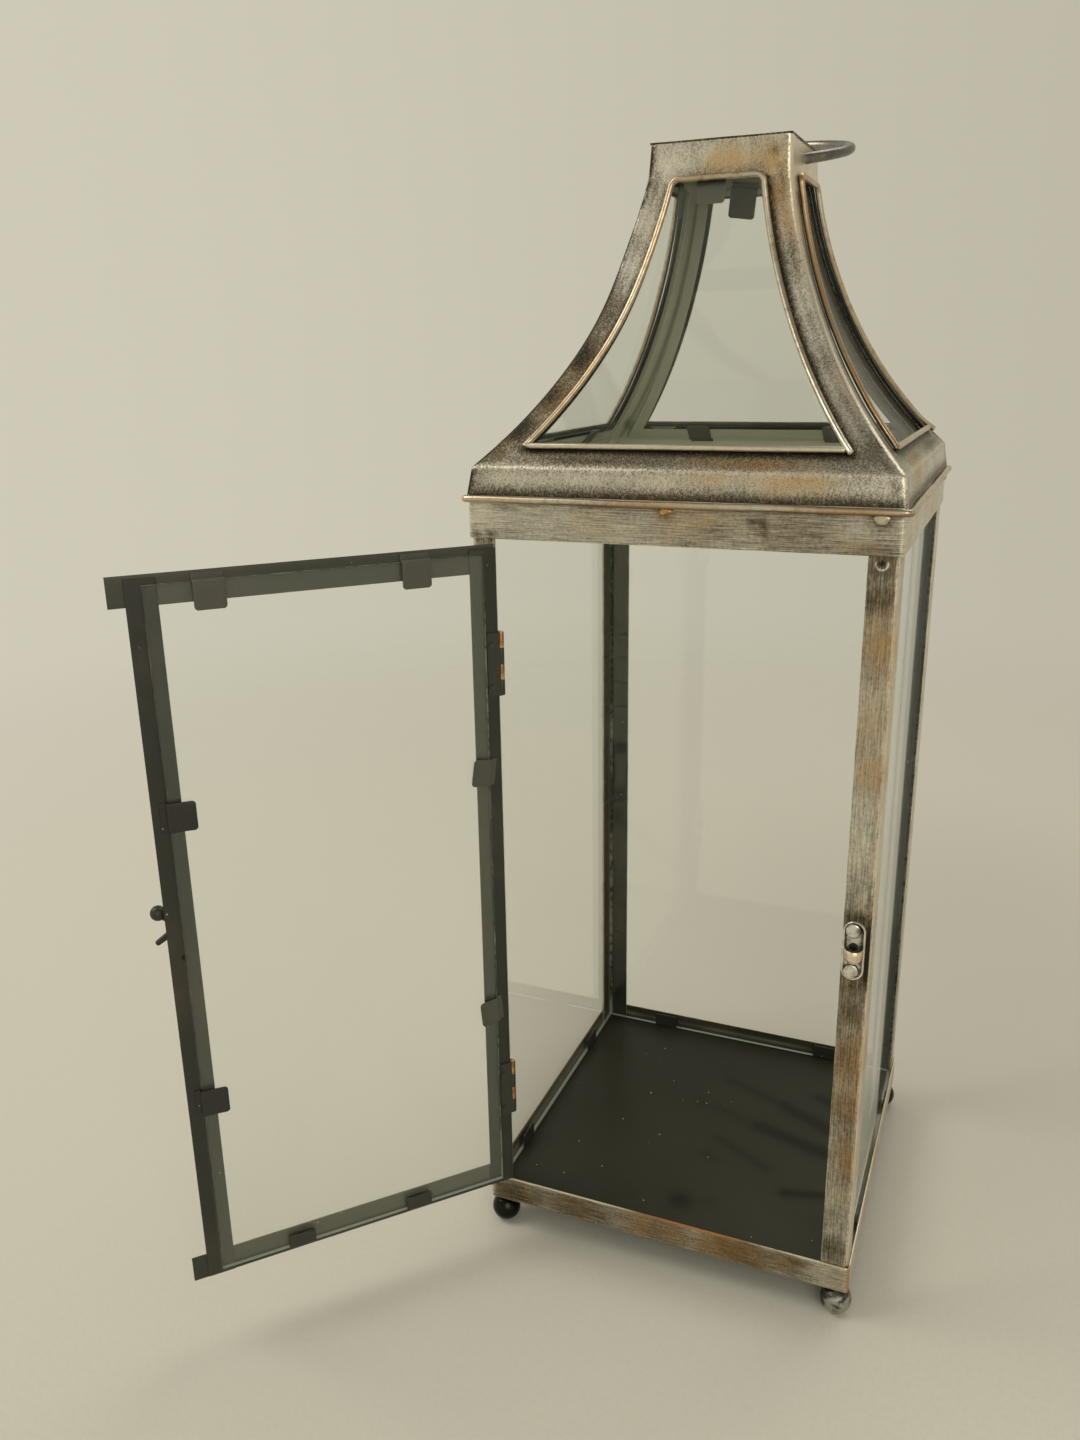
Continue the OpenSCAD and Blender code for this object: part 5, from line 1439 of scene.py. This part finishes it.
latchPin = dict(shank=1.5, collar=2.3, foot=1.0, step=-1.7, under=-3.86, top=-4.66)


# rivet of the latch: a shank with a collar under the lever and a rounded head over it, turned in one piece
def latchRivet():
    r, wide, step, under, top = (latchPin[n] for n in ("shank", "collar", "step", "under", "top"))
    profile = [(0, latchPin["foot"]), (r, latchPin["foot"]), (r, 0), (wide, 0), (wide, step), (r, step), (r, under)]
    profile += [(wide - 0.3, under), (wide, -4.1), (wide - 0.3, -4.5), (1.1, top), (0, top)]
    return lathe(profile, (latch["pivotX"], door["face"], latch["pivotZ"]), (0, 1, 0), 28).moved(toOpen)


piece("latchRivet", latchRivet(), ["paint"], "door", 40)

# rings are the plate's outlines from its back to the middle of its face: inset, depth, how pale, how dark; the pale
# is painted highlight on the rim and the dark painted shade inside
keep = dict(
    x=90.8, y=-100.0, z=210.5, width=10.4, height=30.0, pitch=20.8, rivetAside=0.45,
    hoodR=4.3, hoodThick=0.5, hoodTop=211.6, hoodLow=208.2,
    rings=[
        (5.1, 1.0, 0, 0.3), (0.0, 1.0, 1, 0), (0.0, 0.25, 1, 0), (0.22, 0.0, 1, 0), (0.75, 0.0, 1, 0),
        (1.05, 0.2, 0.4, 0.5), (1.35, 0.5, 0, 0.55), (2.2, 0.52, 0, 0.22), (3.4, 0.5, 0, 0.1), (5.1, 0.5, 0, 0.1),
    ],
    slot=[(0, -0.02), (1.9, -0.02), (2.2, 0.12), (0, 0.14)],
    head=[(2.5, -0.87), (3.25, -0.76), (3.6, -0.45), (3.65, -0.2), (3.5, 0.2), (1.5, 0.2), (1.5, 2.0), (0, 2.0)],
)


# dished plate: rings of the same long round outline, two half circles with straight sides between
def keeperPlate():
    inset, depth, pale, dark = np.array(keep["rings"]).T
    span = (keep["height"] - keep["width"]) / 2
    a = np.radians(np.linspace(0, 180, 25))
    r = (keep["width"] / 2 - inset)[:, None]
    x = np.hstack([keep["x"] + r * np.cos(a), keep["x"] - r * np.cos(a)])
    z = np.hstack([keep["z"] + span + r * np.sin(a), keep["z"] - span - r * np.sin(a)])
    rows, m = x.shape
    grid = np.stack([x, np.broadcast_to(keep["y"] + depth[:, None], x.shape), z], 2)
    quads, uv = gridQuads(rows, m, False, True, np.arange(rows) * 1.0, np.arange(m + 1) * 1.0)
    shape = Shape(grid, quads, uv, [range(m)[::-1], range((rows - 1) * m, rows * m)]).outward()
    p = shape.points
    # painted highlight on the rim, more to the right, and painted shade inside, more towards the top
    shape.fields = {
        "pale": 0.7 * np.repeat(pale, m) * np.clip(0.6 + (p[:, 0] - keep["x"]) / 6, 0.2, 1),
        "dark": np.repeat(dark, m) * np.clip(0.5 + (p[:, 2] - keep["z"] + 6) / 14, 0.1, 1),
    }
    return shape


# hood: an upright half barrel with a domed lower end, open at its top
def keeperHood():
    r, inner, high = keep["hoodR"], keep["hoodR"] - keep["hoodThick"], keep["hoodTop"] - keep["hoodLow"]
    profile = [(r * math.cos(b), r * math.sin(b)) for b in np.radians(np.linspace(-90, 0, 12))]
    profile += [(r, high - 0.15), (r - 0.15, high), (inner, high)]
    profile += [(inner * math.cos(b), inner * math.sin(b)) for b in np.radians(np.linspace(0, -90, 10))]
    profile = np.array(profile)
    a = np.radians(np.linspace(180, 360, 28))
    ring = np.stack([np.cos(a), np.sin(a), 0 * a], 1)
    base = np.array([keep["x"], keep["y"] + 0.4, keep["hoodLow"]])
    points = base + profile[:, None, :1] * ring[None] + profile[:, None, 1:] * (0, 0, 1)
    quads, uv = gridQuads(len(profile), len(a), False, False, lengths(profile), a * r)
    shape = Shape(points, quads[:, ::-1], uv[:, ::-1])
    shape.slots[:] = 1
    shape.fields = {
        "pale": 0.25 * near(shape.points[:, 2] - keep["hoodTop"], 0.8),
        "dark": 0.4 * near(shape.points[:, 1] - keep["y"], 1.0),
    }
    return shape


# painted shadow in the slot over the hood: a flat dark disc
def keeperSlotShadow():
    shape = lathe(keep["slot"], (keep["x"] - 0.1, keep["y"] + 0.44, keep["hoodTop"] + 1.0), (0, 1, 0), 28)
    shape.fields["dark"] = np.ones(len(shape.points))
    shape.slots[:] = 2
    return shape


# rivet of the keeper, s is -1 for the lower one, which has a small boss: a low wide dome, with painted shade at its
# foot and in a crescent on its right, and painted highlight on the boss and in a ring
def keeperRivet(s):
    boss, crescent = (0.35, 0.5) if s < 0 else (0.0, 1.0)
    x, z = keep["x"] - keep["rivetAside"], keep["z"] + s * keep["pitch"] / 2
    profile = [(0, -0.86 - boss * 0.2), (0.5, -0.86 - boss * 0.2), (0.8, -0.88)] + keep["head"]
    shape = lathe(profile, (x, keep["y"], z), (0, 1, 0), 36)
    p = shape.points
    r = np.hypot(p[:, 0] - x, p[:, 2] - z)
    crescent = np.clip((p[:, 0] - keep["x"] - 0.6) / 2, 0, 1) * crescent
    shape.fields = {
        "pale": boss * 2 * near(r, 0.5) + 0.25 * near(r - 1.6, 1.2),
        "dark": 0.7 * near(r - 3.65, 0.12) + 0.7 * crescent * near(r - 2.9, 0.45),
    }
    return shape


keeper = join([keeperPlate(), keeperHood(), keeperSlotShadow()])
piece("keeperPlate", keeper, ["keeper", "brass", "paint"], "frame", 45)
rivets = join([keeperRivet(s) for s in (-1, 1)])
piece("keeperRivets", rivets, ["keeper"], "frame", 40)
print("stage: hinges, latch, keeper")

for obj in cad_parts.values():
    if not obj.hide_render and not obj.data.materials:
        obj.data.materials.append(finish["brushed"])

# paper has two tones and its specks' scale; spots say where a painted shadow and a painted pool of light lie on it,
# how far and with what colour; lights say from where, at what, their width and power
studio = dict(
    left=srgb(208, 203, 185), right=srgb(190, 185, 167), ceiling=srgb(112, 108, 94), air=(0.45, 0.437, 0.397),
    paper=(srgb(204, 199, 182), srgb(198, 193, 176), 340.0),
    spots=[((0.06, 0.36, 0), 0.42, srgb(184, 179, 162)), ((-0.6, 0.36, 0), 1.1, srgb(209, 204, 187))],
    fade=(0.55, 1.7), radius=3200, colour=(1.0, 0.985, 0.95),
    lights=dict(
        keyLight=((-2.2, -0.75, 2.7), (0, 0, 0.2), 1.7, 41.5),
        backLight=((0.5, 1.7, 3.0), (0, 0, 0.1), 1.8, 20.0),
        frontLight=((1.3, -2.2, 1.3), (0.1, 0, 0.2), 1.6, 20.5),
    ),
)


def linked(name, data):
    obj = bpy.data.objects.new(name, data)
    bpy.context.scene.collection.objects.link(obj)
    return obj


# paper that fades out far from the middle: two tones by the noise's steps, and round each spot a painted colour that
# fades smoothly with the distance: the first spot's is a painted shadow, the second's a painted pool of light
def paperFloor():
    f = Finish("paperFloor")
    at = f.place()
    first, second, specks = studio["paper"]
    colour = f.mix(f.noise(at, specks, 2.0, 0.6).step(0.3, 0.9), first, second)
    for spot, reach, shade in studio["spots"]:
        apart = f.out("ShaderNodeVectorMath", {"operation": "DISTANCE"}, {0: at, 1: spot}, "Value")
        colour = f.mix(1 - apart.step(0.0, reach), colour, shade)
    paper = f.shader({"Base Color": colour, "Roughness": 0.75, "Specular IOR Level": 0.2})
    away = f.out("ShaderNodeVectorMath", {"operation": "LENGTH"}, {0: at}, "Value")
    clear = f.node("ShaderNodeBsdfTransparent", {}, {}).outputs[0]
    return f.done(f.blend(away.step(*studio["fade"]), paper, clear))


rings, spokes = np.concatenate([[0.001], np.linspace(0.1, 1, 12) ** 1.3 * studio["radius"]]), 96
a = np.arange(spokes) * 2 * np.pi / spokes
disc = np.stack([rings[:, None] * np.cos(a), rings[:, None] * np.sin(a), np.full((len(rings), spokes), -0.02)], 2)
quads, uv = gridQuads(len(rings), spokes, False, True, rings, np.arange(spokes + 1.0))
floorMesh = bpy.data.meshes.new("studioFloor")
floorMesh.from_pydata((disc.reshape(-1, 3) * mm).tolist(), [], quads[:, ::-1].tolist())
floorMesh.materials.append(paperFloor())
floorObj = linked("studioFloor", floorMesh)


# the air: what is seen, also in metal and through glass, is the pale backdrop, dimmer overhead and to the right;
# everything else is lit by the even air
def studioWorld():
    world = bpy.data.worlds.new("studioAir")
    bpy.context.scene.world = world
    f = Finish("studioAir", world)
    rays = f.node("ShaderNodeLightPath", {}, {}).outputs
    axes = f.node("ShaderNodeSeparateXYZ", {}, {0: f.out("ShaderNodeTexCoord", {}, {}, "Generated")}).outputs
    overhead, across = Value(f, axes[2]).step(0.3, 0.95), Value(f, axes[0]).step(-0.85, 0.15)
    seen = f.mix(overhead, f.mix(across, studio["left"], studio["right"]), studio["ceiling"])
    camera, glossy, through = (Value(f, rays[f"Is {kind} Ray"]) for kind in ("Camera", "Glossy", "Transmission"))
    colour = f.mix((camera + glossy + through).step(0.2, 0.8), studio["air"], seen)
    lit = f.node("ShaderNodeBackground", {}, {"Color": colour}).outputs[0]
    f.node("ShaderNodeOutputWorld", {}, {"Surface": lit})


studioWorld()

for name, (place, target, size, power) in studio["lights"].items():
    lamp = bpy.data.lights.new(name, "AREA")
    lamp.shape, lamp.size, lamp.size_y = "RECTANGLE", size, size
    lamp.energy, lamp.color = power, studio["colour"]
    obj = linked(name, lamp)
    obj.location = place
    obj.rotation_euler = (Vector(target) - Vector(place)).to_track_quat("-Z", "Y").to_euler()

# place in metres, angles in degrees, lens in millimetres
view = dict(place=(0.1465, -0.5984, 0.4756), yaw=22.96, pitch=17.35, roll=1.01, lens=29.03)
yaw, pitch, roll = (math.radians(view[k]) for k in ("yaw", "pitch", "roll"))
ahead = Vector((-math.sin(yaw) * math.cos(pitch), math.cos(yaw) * math.cos(pitch), -math.sin(pitch)))
right = Vector((math.cos(yaw), math.sin(yaw), 0))
down = ahead.cross(right)
axisX = math.cos(roll) * right + math.sin(roll) * down
axisY = math.sin(roll) * right - math.cos(roll) * down
pose = Matrix((axisX, axisY, -ahead)).transposed().to_4x4()
pose.translation = Vector(view["place"])
lensData = bpy.data.cameras.new("camera")
lensData.lens, lensData.sensor_width, lensData.clip_start = view["lens"], 36.0, 0.01
camera = linked("camera", lensData)
camera.matrix_world = pose
bpy.context.scene.camera = camera
bpy.context.scene.view_settings.view_transform = "Standard"

print("stage: done")
